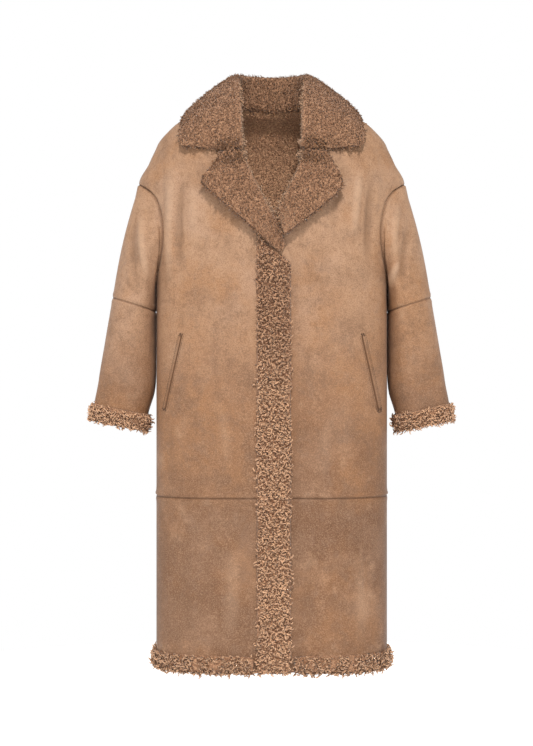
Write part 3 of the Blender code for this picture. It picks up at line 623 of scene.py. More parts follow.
def pile_finish(name, root, middle, tip, painted_shade=None):
    """Pile, and with a painted shade, darker from one height on and wholly so at another."""
    pile = Finish(name, roughness=0.85, sheen=0.2)
    along, tint = pile.attribute("tip"), pile.attribute("tint")
    clumps = pile.noise(70.0, 2.0)
    # dark at the root: painted shade between the locks
    colour = pile.blend(pile.ramp(along, 0.05, 0.55), root, middle)
    colour = pile.blend(pile.ramp(along, 0.45, 1.0) * 0.75, colour, tip)
    colour = pile.blend(tint * 0.35, colour, root)
    colour = pile.blend(pile.ramp(clumps, 0.45, 0.7) * 0.3, colour, tip)
    if painted_shade:
        start, full, tone = painted_shade
        # painted shade, darker from one height on
        colour = pile.blend(pile.ramp(pile.along("Z"), start, full), colour, tone, "MULTIPLY")
    # painted highlight along the front folds of collar and lapels
    colour = pile.blend(pile.attribute("roll") * 0.50, colour, ROLL_HIGHLIGHT)
    pile.feed("Base Color", colour)
    return pile.material


def felt_finish(name, dark, light):
    """The ground below the locks, and the pile inside the coat where there are no locks."""
    felt = Finish(name, roughness=0.9, sheen=0.2)
    curls = felt.noise(320.0, 2.0, 0.6)
    clumps = felt.noise(90.0, 2.0)
    colour = felt.blend(felt.ramp(curls, 0.35, 0.65), dark, light)
    felt.feed("Base Color", felt.blend(felt.ramp(clumps, 0.4, 0.7) * 0.4, colour, dark))
    felt.bump(curls + clumps * 0.8, 0.003, 0.9)
    return felt.material


SUEDE = suede_finish("suede")
WELT = suede_finish("welt_suede", darker=0.10)
SHORT_PILE = pile_finish(
    "short_pile", (0.090, 0.037, 0.015), (0.284, 0.137, 0.064), (0.424, 0.228, 0.120)
)
# painted shadow: darker at the top of the front strip, under the lapels
LONG_PILE = pile_finish(
    "long_pile",
    (0.290, 0.140, 0.072),
    (0.560, 0.322, 0.184),
    (0.670, 0.418, 0.258),
    painted_shade=(-0.62, -0.40, (0.80, 0.76, 0.74)),
)
HEM_PILE = pile_finish(
    "hem_pile", (0.215, 0.102, 0.050), (0.460, 0.262, 0.148), (0.580, 0.362, 0.226)
)
# painted light and shade: the same pile as the collar's, painted far paler for light inside the
# coat, and darker below the back of the neck as shade
INNER_PILE = pile_finish(
    "inner_pile",
    (0.430, 0.218, 0.116),
    (0.740, 0.420, 0.236),
    (0.840, 0.505, 0.300),
    painted_shade=(-0.020, -0.075, (0.56, 0.535, 0.515)),
)
# painted light: the felt inside the coat is paler than the pile's ground elsewhere, for light
# inside the coat
INSIDE = felt_finish("inside_pile", (0.300, 0.156, 0.086), (0.580, 0.332, 0.190))
GROUND = felt_finish("pile_ground", (0.200, 0.098, 0.052), (0.400, 0.220, 0.125))
print("finishes", len(bpy.data.materials))

# %% [markdown]
# ## Cutting the cloth
#
# Each panel is a grid of points with a second grid inside it, joined round the rim, so the hide
# has its true thickness. Rows and columns crowd together near an edge, because a seam pulls the
# hide down over its last few millimetres and lets it swell just beside them.

# %% Grids, seams and walls
SEAM_SINK = 0.0010
SEAM_WIDTH = 0.0036
ALLOWANCE = 0.004
ALLOWANCE_SINK = 0.0008
NECK_ALLOWANCE = 0.0065
# the crease rise at which the painted highlight and painted shade are full
CREASE_LIGHT_AT = 0.006
SEAM_SWELL = 0.0009
THIGH_LAP = 0.0018
CLOTH_STEP = 0.0065
EDGE_STEPS = np.array([0.0, 0.0011, 0.0024, 0.0042, 0.0070])


def graded(start, end, step=CLOTH_STEP):
    """Places from start to end, closer together near both ends."""
    length, margin = end - start, EDGE_STEPS[-1] + step * 0.8
    count = max(2, round((length - 2 * margin) / step) + 1)
    middle = np.linspace(margin, length - margin, count)
    return start + np.concatenate([EDGE_STEPS, middle, length - EDGE_STEPS[::-1]])


def edge_distance(points, axis):
    """How far each point of a grid is along the cloth from its row's or column's two ends."""
    steps = np.linalg.norm(np.diff(points, axis=axis), axis=-1)
    first = np.insert(np.cumsum(steps, axis=axis), 0, 0, axis=axis)
    return first, np.take(first, [-1], axis=axis) - first


def seam_shape(distance, lap=0.0):
    swell = SEAM_SWELL * np.exp(-(((distance - 2.2 * SEAM_WIDTH) / SEAM_WIDTH) ** 2))
    lapped = lap * np.exp(-(((distance - 1.1 * SEAM_WIDTH) / (0.6 * SEAM_WIDTH)) ** 2))
    return swell + lapped - SEAM_SINK * (1 - smoothstep(0, SEAM_WIDTH * 0.8, distance))


def seam_mark(distance):
    return 1 - smoothstep(0.0002, 0.0026, distance)


def grid_normals(points, outwards, ring=False):
    """Each point's direction out of the cloth, from its neighbours."""
    if ring:
        padded = np.concatenate([points[:, -1:], points, points[:, :1]], axis=1)
        across = padded[:, 2:] - padded[:, :-2]
    else:
        across = np.gradient(points, axis=1)
    normals = unit(np.cross(across, np.gradient(points, axis=0)))
    flip = np.sign((normals * outwards).sum(-1, keepdims=True))
    return normals * np.where(flip == 0, 1, flip)


# %% [markdown]
# The seam's rise and the creases move the outer grid, and the inner one follows it. Points keep
# numbers for the suede: how near a seam is, and how far a crease lifts them, which the suede
# paints as highlight on a crease's top and as shade in its trough.


# %% Walls of cloth
SHARP = 50  # degrees between faces that don't blend into each other


def new_mesh(name, points, edges, faces):
    mesh = bpy.data.meshes.new(name)
    mesh.from_pydata(points, edges, faces)
    return mesh


def mark_points(mesh, name, values):
    """Gives each point of a mesh a number, under a name that its material or a tree reads."""
    values = np.asarray(values, np.float32).ravel()
    mesh.attributes.new(name, "FLOAT", "POINT").data.foreach_set("value", values)


def put_in_scene(name, mesh):
    piece = bpy.data.objects.new(name, mesh)
    bpy.context.scene.collection.objects.link(piece)
    return piece


def plain_mesh(name, thing):
    """The thing's evaluated geometry as a plain mesh of its own, at the origin."""
    evaluated = thing.evaluated_get(bpy.context.evaluated_depsgraph_get())
    mesh = bpy.data.meshes.new_from_object(evaluated)
    mesh.name = name
    return put_in_scene(name, mesh)


def cloth_wall(name, outer, inner, materials, ring=False, **marks):
    """A closed wall between two grids of points, suede on one face and pile on the other."""
    rows, columns = outer.shape[:2]
    count = rows * columns
    index = np.arange(count).reshape(rows, columns)
    if ring:
        index = np.hstack([index, index[:, :1]])
    corners = (index[:-1, :-1], index[:-1, 1:], index[1:, 1:], index[1:, :-1])
    faces = np.stack(corners, -1).reshape(-1, 4)
    rims = [index[0], index[-1]] + ([] if ring else [index[:, 0], index[:, -1]])
    rim = [np.stack([r[:-1], r[1:], r[1:] + count, r[:-1] + count], -1) for r in rims]
    everything = np.concatenate([faces, *rim, faces + count])
    points = np.concatenate([outer.reshape(-1, 3), inner.reshape(-1, 3)])
    mesh = new_mesh(name, points.tolist(), [], everything.tolist())
    shape = bmesh.new()
    shape.from_mesh(mesh)
    bmesh.ops.recalc_face_normals(shape, faces=shape.faces)
    shape.to_mesh(mesh)
    shape.free()
    for material in materials:
        mesh.materials.append(material)
    kinds = np.ones(len(everything), np.int32)
    kinds[: len(faces)] = 0
    mesh.polygons.foreach_set("material_index", kinds)
    for key, values in marks.items():
        mark_points(mesh, key, np.concatenate([values.reshape(-1), np.zeros(count)]))
    mesh.shade_smooth()
    mesh.set_sharp_from_angle(angle=math.radians(SHARP))
    return put_in_scene(name, mesh)


def dress(name, points, outwards, seam_rise, seam, ring=False, tucked=None):
    """Cloth from a smooth grid: creases and seams move it, and its wall goes inwards.

    The row named as tucked reaches on under its neighbour, as a seam allowance does.
    """
    normals = grid_normals(points, outwards, ring)
    creased = crease_rise(points, normals)
    moved = points + normals * (seam_rise + creased)[..., None]
    inner = moved - grid_normals(moved, outwards, ring) * HIDE
    if tucked is not None:
        onward = unit(moved[tucked] - moved[4 if tucked == 0 else -5])
        inner[tucked] += onward * ALLOWANCE - normals[tucked] * ALLOWANCE_SINK
    if name == "back_upper_cloth":
        inner[-1, :, 2] += NECK_ALLOWANCE
    # the crease's lift, which the suede paints as highlight on tops and shade in troughs
    rubbed = np.clip(creased / CREASE_LIGHT_AT, -1, 1)
    return cloth_wall(name, moved, inner, (SUEDE, INSIDE), ring, seam=seam, rubbed=rubbed)


# %% [markdown]
# ## Fronts and back
#
# The wearer's right front laps over the left one. Each front ends along its side seam, its armhole
# and its opening, and the back runs across in one piece. All three are cut in two at the thigh,
# where the upper hide laps over the lower one and stands a little proud.

# %% Fronts and back
ARMHOLE_STEPS = 40
YOKE_ROWS = 30  # above the armhole
PANEL_WIDTHS = {"front": 0.27, "back": 0.26}  # from the side seam to the middle, roughly


def panel_levels(part):
    gap = SEAM_GAP / 2
    if part == "lower":
        return graded(PANEL_BOTTOM, THIGH_SEAM - gap)
    turns = np.linspace(math.pi, 0, ARMHOLE_STEPS + 1)
    armhole = ARMHOLE_MIDDLE + ARMHOLE_HALF * np.cos(turns)
    below = graded(THIGH_SEAM + gap, ARMHOLE_BOTTOM)
    above = np.linspace(ARMHOLE_TOP, NECK_LEVEL, YOKE_ROWS)
    return np.concatenate([below[:-4], armhole, above[1:]])


def make_panel(name, part, face, side):
    """A front, or the back when side is None."""
    level = panel_levels(part)[:, None]
    start = angle_at_depth(level, side_depth(level), face)
    shares = graded(0.0, PANEL_WIDTHS[face])[None, :] / PANEL_WIDTHS[face]
    if face == "front":
        end = angle_at_across(level, panel_edge(side, level))
        angles = spread(level, face, start, end, shares)
        points = body_point(side, angles, level)
        side_seam = edge_distance(points, 1)[0]
    else:
        shares = shares[:, : -len(EDGE_STEPS)]
        shares = np.concatenate([shares, [[1.0]]], axis=1)
        angles = spread(level, face, start, np.full(level.shape, -math.pi / 2), shares)
        right, left = body_point(RIGHT, angles, level), body_point(LEFT, angles, level)
        middle = (right[:, -1:] + left[:, -1:]) / 2
        points = np.concatenate([right[:, :-1], middle, left[:, -2::-1]], axis=1)
        side_seam = np.minimum(*edge_distance(points, 1))
    bottom, top = edge_distance(points, 0)
    thigh = top if part == "lower" else bottom
    lap = THIGH_LAP if part == "upper" else 0.0
    rise = seam_shape(side_seam) + seam_shape(thigh, lap)
    mark = np.maximum(seam_mark(side_seam), seam_mark(thigh))
    outwards = points * np.array([1.0, 1.0, 0.0]) + np.array([0.0, 0.0, 0.02])
    tucked = -1 if part == "lower" else None
    return dress(name, points, outwards, rise, mark, tucked=tucked)


cloth = {}
for part in ("upper", "lower"):
    for side, word in SIDES:
        name = f"front_{word}_{part}"
        cloth[name] = make_panel(f"{name}_cloth", part, "front", side)
    cloth[f"back_{part}"] = make_panel(f"back_{part}_cloth", part, "back", None)
print("panels", {name: len(piece.data.polygons) for name, piece in cloth.items()})

# %% [markdown]
# ## Sleeves
#
# A dropped sleeve starts from the armhole, below the shoulder's point, and runs down to a level
# seam at the elbow. A turn goes round it: 0 at the outer side, 90 degrees in front, 180 against
# the body. The upper sleeve is stretched between the armhole and the first ring of the lower one.


# %% Sleeves
UPPER_LENGTH = 0.19
LOWER_LENGTH = 0.25
SLEEVE_LEAN = 0.0028  # how far the inner side leans onto the body
SLEEVE_TURN = 0.0038  # how far the hide comes out of the armhole before it turns down
SLEEVE_FILL = 0.006  # how far the upper sleeve swells out between its two ends
UNDERARM_FOLD = 0.0045
UPPER_ROWS = (0.09, 0.908)  # where the even rows of a sleeve part start, and their reach
LOWER_ROWS = (0.0015, 0.9985)
TURNS = np.linspace(0, 2 * math.pi, 2 * ARMHOLE_STEPS + 1)[:-1]


def armhole_point(side, turn, out=0.0):
    level = ARMHOLE_MIDDLE + ARMHOLE_HALF * np.cos(turn)
    depth = ARMHOLE_REACH * np.abs(np.sin(turn)) ** ARMHOLE_ROUND
    front, back = (angle_at_depth(level, depth, face) for face in ("front", "back"))
    return body_point(side, np.where(turn <= math.pi, front, back), level, out)


def ring_point(side, turn, along):
    """A point of the lower sleeve's outside."""
    turn, along = np.broadcast_arrays(turn, along)
    width, depth = read(RINGS, along, "half_width"), read(RINGS, along, "half_depth")
    tilt = np.radians(read(RINGS, along, "tilt"))
    power = np.where(np.cos(turn) > 0, OUTER_POWER, read(RINGS, along, "inner_power"))
    polar = np.arctan2(depth * np.sin(turn), width * np.cos(turn))
    c, s = np.cos(polar), np.sin(polar)
    radius = oval(c, s, width, depth, power)
    leans = SLEEVE_LEAN * (0.5 - 0.5 * np.cos(turn)) ** 3 * (1 - smoothstep(0.45, 0.80, along))
    x = side * (read(RINGS, along, "centre_x") + np.cos(tilt) * radius * c - leans)
    z = read(RINGS, along, "centre_z") + np.sin(tilt) * radius * c
    return np.stack([x, -radius * s, z], -1)


def ridge_rise(side, turn, share):
    rise = np.zeros(np.broadcast(turn, share).shape)
    for ridge in RIDGES:
        if ridge.side == side:
            centre = mix(ridge.turn_top, ridge.turn_bottom, share)
            near = mound(np.degrees(turn) - centre, ridge.half_turn)
            rise += ridge.rise * near * np.sin(math.pi * share)
    return rise


def sleeve_out(side, turn):
    return np.stack([side * np.cos(turn), -np.sin(turn), np.zeros(turn.shape)], -1)


def upper_sleeve_points(side, turn, share):
    turn, share = np.broadcast_arrays(turn, share)
    start, end = armhole_point(side, turn), ring_point(side, turn, np.zeros(turn.shape))
    points = mix(start, end, share[..., None])
    fill = SLEEVE_FILL * (0.5 + 0.5 * np.cos(turn)) * np.sin(math.pi * share)
    fold = UNDERARM_FOLD * (0.5 - 0.5 * np.cos(turn)) ** 2 * (1 - share) ** 3
    points[..., 0] += side * fold
    return points + sleeve_out(side, turn) * (fill + ridge_rise(side, turn, share))[..., None]


def seam_directions(side, turns):
    """At each armhole point, along the cloth and away from the body's panel."""
    points = armhole_point(side, turns)
    tangent = np.roll(points, -1, axis=0) - np.roll(points, 1, axis=0)
    away = unit(np.cross(tangent, armhole_point(side, turns, 0.001) - points))
    inwards = np.array([0, 0, ARMHOLE_MIDDLE]) - points * [0, 1, 1]
    return away * np.sign((away * inwards).sum(-1, keepdims=True))


def dress_sleeve(side, name, points, rise, mark, radius):
    """A sleeve's long seam lies against the body, at half a turn."""
    along_seam = np.broadcast_to(np.abs(TURNS - math.pi) * radius, mark.shape)
    mark = np.maximum(mark, 0.6 * seam_mark(along_seam))
    outwards = np.broadcast_to(sleeve_out(side, TURNS), points.shape)
    return dress(name, points, outwards, rise, mark, ring=True, tucked=0)


def sleeve_rows(rows, places, length):
    start, reach = rows
    return (start + reach * places / length)[:, None]


def make_upper_sleeve(side, name):
    edge, away = armhole_point(side, TURNS), seam_directions(side, TURNS)
    seam = edge + away * ARMHOLE_GAP
    turned = edge + away * SLEEVE_TURN + np.array([side * SLEEVE_TURN, 0, 0])
    shares = sleeve_rows(UPPER_ROWS, graded(0.0, UPPER_LENGTH)[4:], UPPER_LENGTH)
    rows = upper_sleeve_points(side, TURNS[None, :], shares)
    between = [mix(turned, rows[0], share) for share in (0.25, 0.5, 0.75)]
    points = np.concatenate([seam[None], turned[None], between, rows])
    top, bottom = edge_distance(points, 0)
    rise = seam_shape(bottom) - SEAM_SINK * 0.6 * (1 - smoothstep(0, 0.003, top))
    mark = np.maximum(seam_mark(top), seam_mark(bottom))
    return dress_sleeve(side, name, points, rise, mark, radius=0.07)


def make_lower_sleeve(side, name):
    along = sleeve_rows(LOWER_ROWS, graded(0.0, LOWER_LENGTH), LOWER_LENGTH)
    points = ring_point(side, TURNS[None, :], along)
    top = edge_distance(points, 0)[0]
    return dress_sleeve(side, name, points, seam_shape(top), seam_mark(top), radius=0.06)


for side, word in SIDES:
    cloth[f"sleeve_{word}_upper"] = make_upper_sleeve(side, f"sleeve_{word}_upper_cloth")
    cloth[f"sleeve_{word}_lower"] = make_lower_sleeve(side, f"sleeve_{word}_lower_cloth")
print("sleeves", [len(cloth[f"sleeve_{w}"].data.polygons) for w in ("right_upper", "right_lower")])

# %% [markdown]
# ## Pockets
#
# Each side pocket is a slanted slit under a narrow rolled welt. The welt follows the front's own
# surface. Its long edges dive into the hide, and a dark mark runs along them.

# %% Pocket welts
POCKET_TOP, POCKET_BOTTOM = np.array([0.180, -0.453]), np.array([0.2145, -0.602])
POCKET_DOWN = unit(POCKET_BOTTOM - POCKET_TOP)
POCKET_ACROSS = np.array([-POCKET_DOWN[1], POCKET_DOWN[0]])
WELT_ROUND = 0.004
WELT_PROFILE = (-0.0010, 0.0008, 0.0024, 0.0030, 0.0032, 0.0030, 0.0024, 0.0008, -0.0010)
WELT_HALF = {RIGHT: 0.0032, LEFT: 0.0044}
WELT_SINK = 0.0025
WELT_ROWS = 40


def front_cloth_point(side, across, level, out=0.0):
    """A point of a front's cloth, creases included, at a distance from the middle line."""
    angle = angle_at_across(level, across)
    normal = body_normal(side, angle, level)
    point = surface(side, angle, level)
    return point + normal * (crease_rise(point, normal) + out)[..., None]


def pocket_place(share, aside):
    """The distance from the middle line and the level, some way down a pocket and beside it."""
    ends = zip(POCKET_TOP, POCKET_BOTTOM, POCKET_ACROSS)
    place = [mix(top, bottom, share) + way * aside for top, bottom, way in ends]
    return np.broadcast_arrays(*place)


def welt_rounding(inside):
    """How full a welt is at a distance from its nearer end."""
    return np.sqrt(np.clip(1 - (1 - np.clip(inside / WELT_ROUND, 0, 1)) ** 2, 0, 1))


def make_welt(side, name):
    along = np.linspace(0, 1, WELT_ROWS)[:, None]
    offset = np.linspace(-1, 1, len(WELT_PROFILE))[None, :]
    end = np.minimum(along, 1 - along) * np.hypot(*(POCKET_BOTTOM - POCKET_TOP))
    rounding = welt_rounding(end)
    across, level = pocket_place(along, offset * WELT_HALF[side] * (0.35 + 0.65 * rounding))
    rise = np.array(WELT_PROFILE)[None, :] * (0.25 + 0.75 * rounding)
    outer = front_cloth_point(side, across, level, rise)
    under = front_cloth_point(side, across, level, -WELT_SINK)
    mark = 1.3 * smoothstep(0.22, 0.55, np.abs(offset)) + np.zeros(across.shape)
    mark = np.maximum(mark, 1.3 * (1 - smoothstep(0.0, 0.004, end)))
    return cloth_wall(name, outer, under, (WELT, WELT), seam=mark)


for side, word in SIDES:
    cloth[f"pocket_welt_{word}"] = make_welt(side, f"pocket_welt_{word}_cloth")
print("welts", [len(cloth[f"pocket_welt_{w}"].data.polygons) for w in ("right", "left")])

# %% [markdown]
# ## Sewing
#
# Seams are closed from inside, so thread shows only at the pockets: a row beside each long edge
# of a welt, and a close bar tack across each of its ends. What repeats, stitches here and locks of
# pile further on, is laid by Geometry Nodes. Each tree is a recipe with settings of its own.

# %% Recipes for what repeats
class Recipe(Graph):
    """A tree that turns one geometry into another, with settings of its own."""

    def __init__(self, name, **kinds):
        super().__init__(bpy.data.node_groups.new(name, "GeometryNodeTree"))
        self.names = {}
        for key, kind in kinds.items():
            title, kind = key.replace("_", " ").title(), f"NodeSocket{kind}"
            made = self.tree.interface.new_socket(title, in_out="INPUT", socket_type=kind)
            self.names[key] = made.identifier
        kind = "NodeSocketGeometry"
        self.tree.interface.new_socket("Geometry", in_out="OUTPUT", socket_type=kind)
        outputs = self.tree.nodes.new("NodeGroupInput").outputs
        self.given = {key: Wire(self, socket) for key, socket in zip(kinds, outputs)}

    def chance(self, kind, low, high, offset=0):
        """A random value from low to high. Each offset has draws of its own."""
        inputs = {"Seed": self.given["seed"] + float(offset)}
        drawn = self.node("FunctionNodeRandomValue", {"data_type": kind}, inputs)
        sockets = drawn.socket.node.inputs
        ends = [socket for socket in sockets if socket.name in ("Min", "Max") and socket.enabled]
        for value, socket in zip((low, high), ends):
            self.put(value, socket)
        return drawn

    def vectors(self, operation, first, second):
        second = {"Scale": second} if operation == "SCALE" else {1: second}
        return self.node("ShaderNodeVectorMath", {"operation": operation}, {0: first, **second})

    def aligned(self, vector, settings, **inputs):
        """A rotation that turns one axis along a vector."""
        inputs = {"Vector": vector, **inputs}
        return self.node("FunctionNodeAlignRotationToVector", settings, inputs)

    def end(self, instances, finish):
        """Makes the instances real and gives them their material."""
        real = self.node("GeometryNodeRealizeInstances", {}, {"Geometry": instances})
        inputs = {"Geometry": real, "Material": finish}
        painted = self.node("GeometryNodeSetMaterial", {}, inputs)
        self.put(painted, self.tree.nodes.new("NodeGroupOutput").inputs[0])

    def run(self, name, thing, settings):
        """What the tree makes of a thing, as a plain mesh of its own."""
        modifier = thing.modifiers.new(self.tree.name, "NODES")
        modifier.node_group = self.tree
        for key, value in settings.items():
            modifier[self.names[key]] = value
        thing.update_tag()
        made = plain_mesh(name, thing)
        thing.modifiers.remove(modifier)
        return made


# %% [markdown]
# This recipe walks along a path and lays a stitch at every pitch, turned to follow it.


# %% The recipe that sews
STITCH_SIDES = 5
STITCH_SHAPE = table(
    "Station",
    "along lift thick",
    (-0.5, -0.6, 0.35),
    (-0.3, 0.3, 0.85),
    (0.0, 0.6, 1.0),
    (0.3, 0.3, 0.85),
    (0.5, -0.6, 0.35),
)


def tube_faces(rings, sides):
    """The four-sided faces between one ring of points and the next."""
    faces = []
    for first in range(0, (rings - 1) * sides, sides):
        for side in range(sides):
            a, b = first + side, first + (side + 1) % sides
            faces.append((a, b, b + sides, a + sides))
    return faces


def stitch_mesh(name, length, radius):
    """A small loop of thread: thickest in the middle, its ends sunk in the hide."""
    points = []
    for along, lift, thick in STITCH_SHAPE:
        for side in range(STITCH_SIDES):
            turn = 2 * math.pi * side / STITCH_SIDES
            across, up = math.cos(turn) * radius * thick, math.sin(turn) * radius * thick
            points.append((across, up + lift * radius, along * length))
    ends = [tuple(range(STITCH_SIDES))[::-1]]
    ends.append(tuple(range(len(points) - STITCH_SIDES, len(points))))
    mesh = new_mesh(name, points, [], tube_faces(len(STITCH_SHAPE), STITCH_SIDES) + ends)
    mesh.shade_smooth()
    return bpy.data.objects.new(name, mesh)


def sewing_recipe():
    recipe = Recipe(
        "sew",
        path="Geometry",
        stitch="Object",
        pitch="Float",
        wobble="Float",
        seed="Int",
        thread="Material",
    )
    node, given = recipe.node, recipe.given
    curve = node("GeometryNodeMeshToCurve", {}, {"Mesh": given["path"]})
    inputs = {"Curve": curve, "Length": given["pitch"]}
    walk = node("GeometryNodeResampleCurve", {"mode": "LENGTH"}, inputs)
    along = recipe.aligned(node("GeometryNodeInputTangent"), {"axis": "Z"})
    settings = {"axis": "Y", "pivot_axis": "Z"}
    outward = recipe.aligned((0.0, -1.0, 0.0), settings, Rotation=along)
    inputs = {"Object": given["stitch"], "As Instance": True}
    stitch = node("GeometryNodeObjectInfo", {}, inputs, "Geometry")
    size = recipe.chance("FLOAT", 0.85, given["wobble"])
    inputs = {"Points": walk, "Instance": stitch, "Rotation": outward, "Scale": size}
    laid = node("GeometryNodeInstanceOnPoints", {}, inputs)
    recipe.end(laid, given["thread"])
    return recipe


SEWING = sewing_recipe()
THREAD = Finish("thread", roughness=0.7, sheen=0.1)
twist = THREAD.noise(900.0, 2.0)
THREAD.feed("Base Color", THREAD.blend(twist, (0.045, 0.020, 0.010), (0.110, 0.055, 0.030)))
TOP_STITCH = stitch_mesh("top_stitch", 0.0030, 0.00042)
STITCH_ROW_OFF = 0.0016  # from the welt's edge
TACK_HALF, TACK_STEPS = 0.0021, (-0.0024, -0.0016, -0.0008, 0.0, 0.0008, 0.0016, 0.0024)
THREAD_RISE = 0.0004
STITCH_SETTINGS = {"pitch": 0.0036, "wobble": 1.1, "seed": 71, "thread": THREAD.material}


def sew(name, paths):
    """Stitches along paths, which are rows of points, as one plain mesh."""
    points = np.concatenate(paths).tolist()
    firsts = np.cumsum([0] + [len(path) for path in paths[:-1]])
    edges = [(a + i, a + i + 1) for a, path in zip(firsts, paths) for i in range(len(path) - 1)]
    line = put_in_scene(f"{name}_path", new_mesh(f"{name}_path", points, edges, []))
    sewn = SEWING.run(name, line, {"stitch": TOP_STITCH, **STITCH_SETTINGS})
    bpy.data.objects.remove(line)
    return sewn


def pocket_rows(side):
    """The two rows of stitches beside a welt."""
    along, apart = np.linspace(0.02, 0.98, 60), WELT_HALF[side] + STITCH_ROW_OFF
    places = [pocket_place(along, way * apart) for way in (-1, 1)]
    return [front_cloth_point(side, across, level, 0.0001) for across, level in places]


def tack_rows(side):
    """Close rows across each end of a welt, which hold the slit together."""
    aside = np.linspace(-1, 1, 12) * TACK_HALF
    rows = []
    for end, way in ((POCKET_TOP, 1), (POCKET_BOTTOM, -1)):
        for step in TACK_STEPS:
            across, level = (
                end[i] + way * POCKET_DOWN[i] * step + POCKET_ACROSS[i] * aside for i in (0, 1)
            )
            full = max(WELT_PROFILE) * welt_rounding(max(step, 0.0)) + THREAD_RISE
            rows.append(front_cloth_point(side, across, level, full))
    return rows


def ring_rows(side):
    """The small round of stitches at the lower end of the wearer's left pocket."""
    turns = np.linspace(0, 2 * math.pi, 31)
    rows = []
    for radius in (0.0046, 0.0053):
        across = POCKET_BOTTOM[0] + radius * np.cos(turns)
        level = POCKET_BOTTOM[1] + radius * 1.15 * np.sin(turns)
        rows.append(front_cloth_point(side, across, level, THREAD_RISE))
    return rows


stitches = {}
for side, word in SIDES:
    rows = pocket_rows(side) + tack_rows(side) + (ring_rows(side) if side == LEFT else [])
    stitches[word] = sew(f"pocket_stitches_{word}", rows)
print("stitches", {word: len(piece.data.polygons) for word, piece in stitches.items()})

# %% [markdown]
# ## Pile
#
# A lock of pile is a thin tapering strand that bends over and twists at its tip. Thousands of
# copies of a few short strands read as fleece, where a bump alone would look like rough felt. A
# number runs along each lock from root to tip for its colour. The short pile curls tightly, and
# the long one hangs in loose waves.


# %% Locks
ROOT_DEPTH = 0.12  # the share of a lock that starts below the ground
TAPER = 0.40  # below 1, a lock stays thick for most of its length


def lock_mesh(name, length, radius, bend, twist, rings, sides=3):
    """One strand that starts upwards, bends over by an angle, and turns sideways as it goes."""
    points, tips = [], []
    place, step = Vector((0, 0, -ROOT_DEPTH * length)), length / rings
    for ring in range(rings + 1):
        share = ring / rings
        lean, turn = math.radians(bend) * share, math.radians(twist) * share
        way = Vector(
            (math.sin(lean) * math.cos(turn), math.sin(lean) * math.sin(turn), math.cos(lean))
        )
        aside = way.orthogonal().normalized()
        across = way.cross(aside)
        thick = radius * (1 - share) ** TAPER
        if ring == rings:
            points.append(place.copy())
            tips.append(1.0)
            break
        for side in range(sides):
            around = 2 * math.pi * side / sides
            points.append(place + (aside * math.cos(around) + across * math.sin(around)) * thick)
            tips.append(share)
        place = place + way * step
    last = (rings - 1) * sides
    ends = [(last + side, last + (side + 1) % sides, rings * sides) for side in range(sides)]
    mesh = new_mesh(name, [tuple(point) for point in points], [], tube_faces(rings, sides) + ends)
    mark_points(mesh, "tip", tips)
    mesh.shade_smooth()
    return bpy.data.objects.new(name, mesh)


def lock_set(name, *shapes):
    group = bpy.data.collections.new(name)
    for number, shape in enumerate(shapes):
        group.objects.link(lock_mesh(f"{name}_{number}", *shape))
    return group


SHORT_LOCKS = lock_set(
    "short_locks",
    (0.0072, 0.00124, 170, 140, 4),
    (0.0064, 0.00136, 210, -190, 4),
    (0.0080, 0.00116, 130, 260, 4),
)
LONG_LOCKS = lock_set(
    "long_locks",
    (0.0140, 0.00215, 110, 150, 6),
    (0.0128, 0.00235, 95, -180, 6),
    (0.0162, 0.00195, 135, 120, 7),
    (0.0116, 0.00225, 160, -140, 6),
)
EDGE_LOCKS = lock_set(
    "edge_locks",
    (0.0125, 0.00200, 120, 160, 5),
    (0.0150, 0.00180, 95, -220, 5),
    (0.0105, 0.00210, 150, 190, 5),
)

# %% [markdown]
# Geometry Nodes spreads the locks. Points are dealt over the ground where its "pile" number
# allows, never closer than a set distance. Each point takes one lock of the set, stands it along
# the ground's own direction with some fall and some disorder, turns it, and scales it. A random
# number goes with every lock, so that some are darker. Fixed seeds keep every run alike.


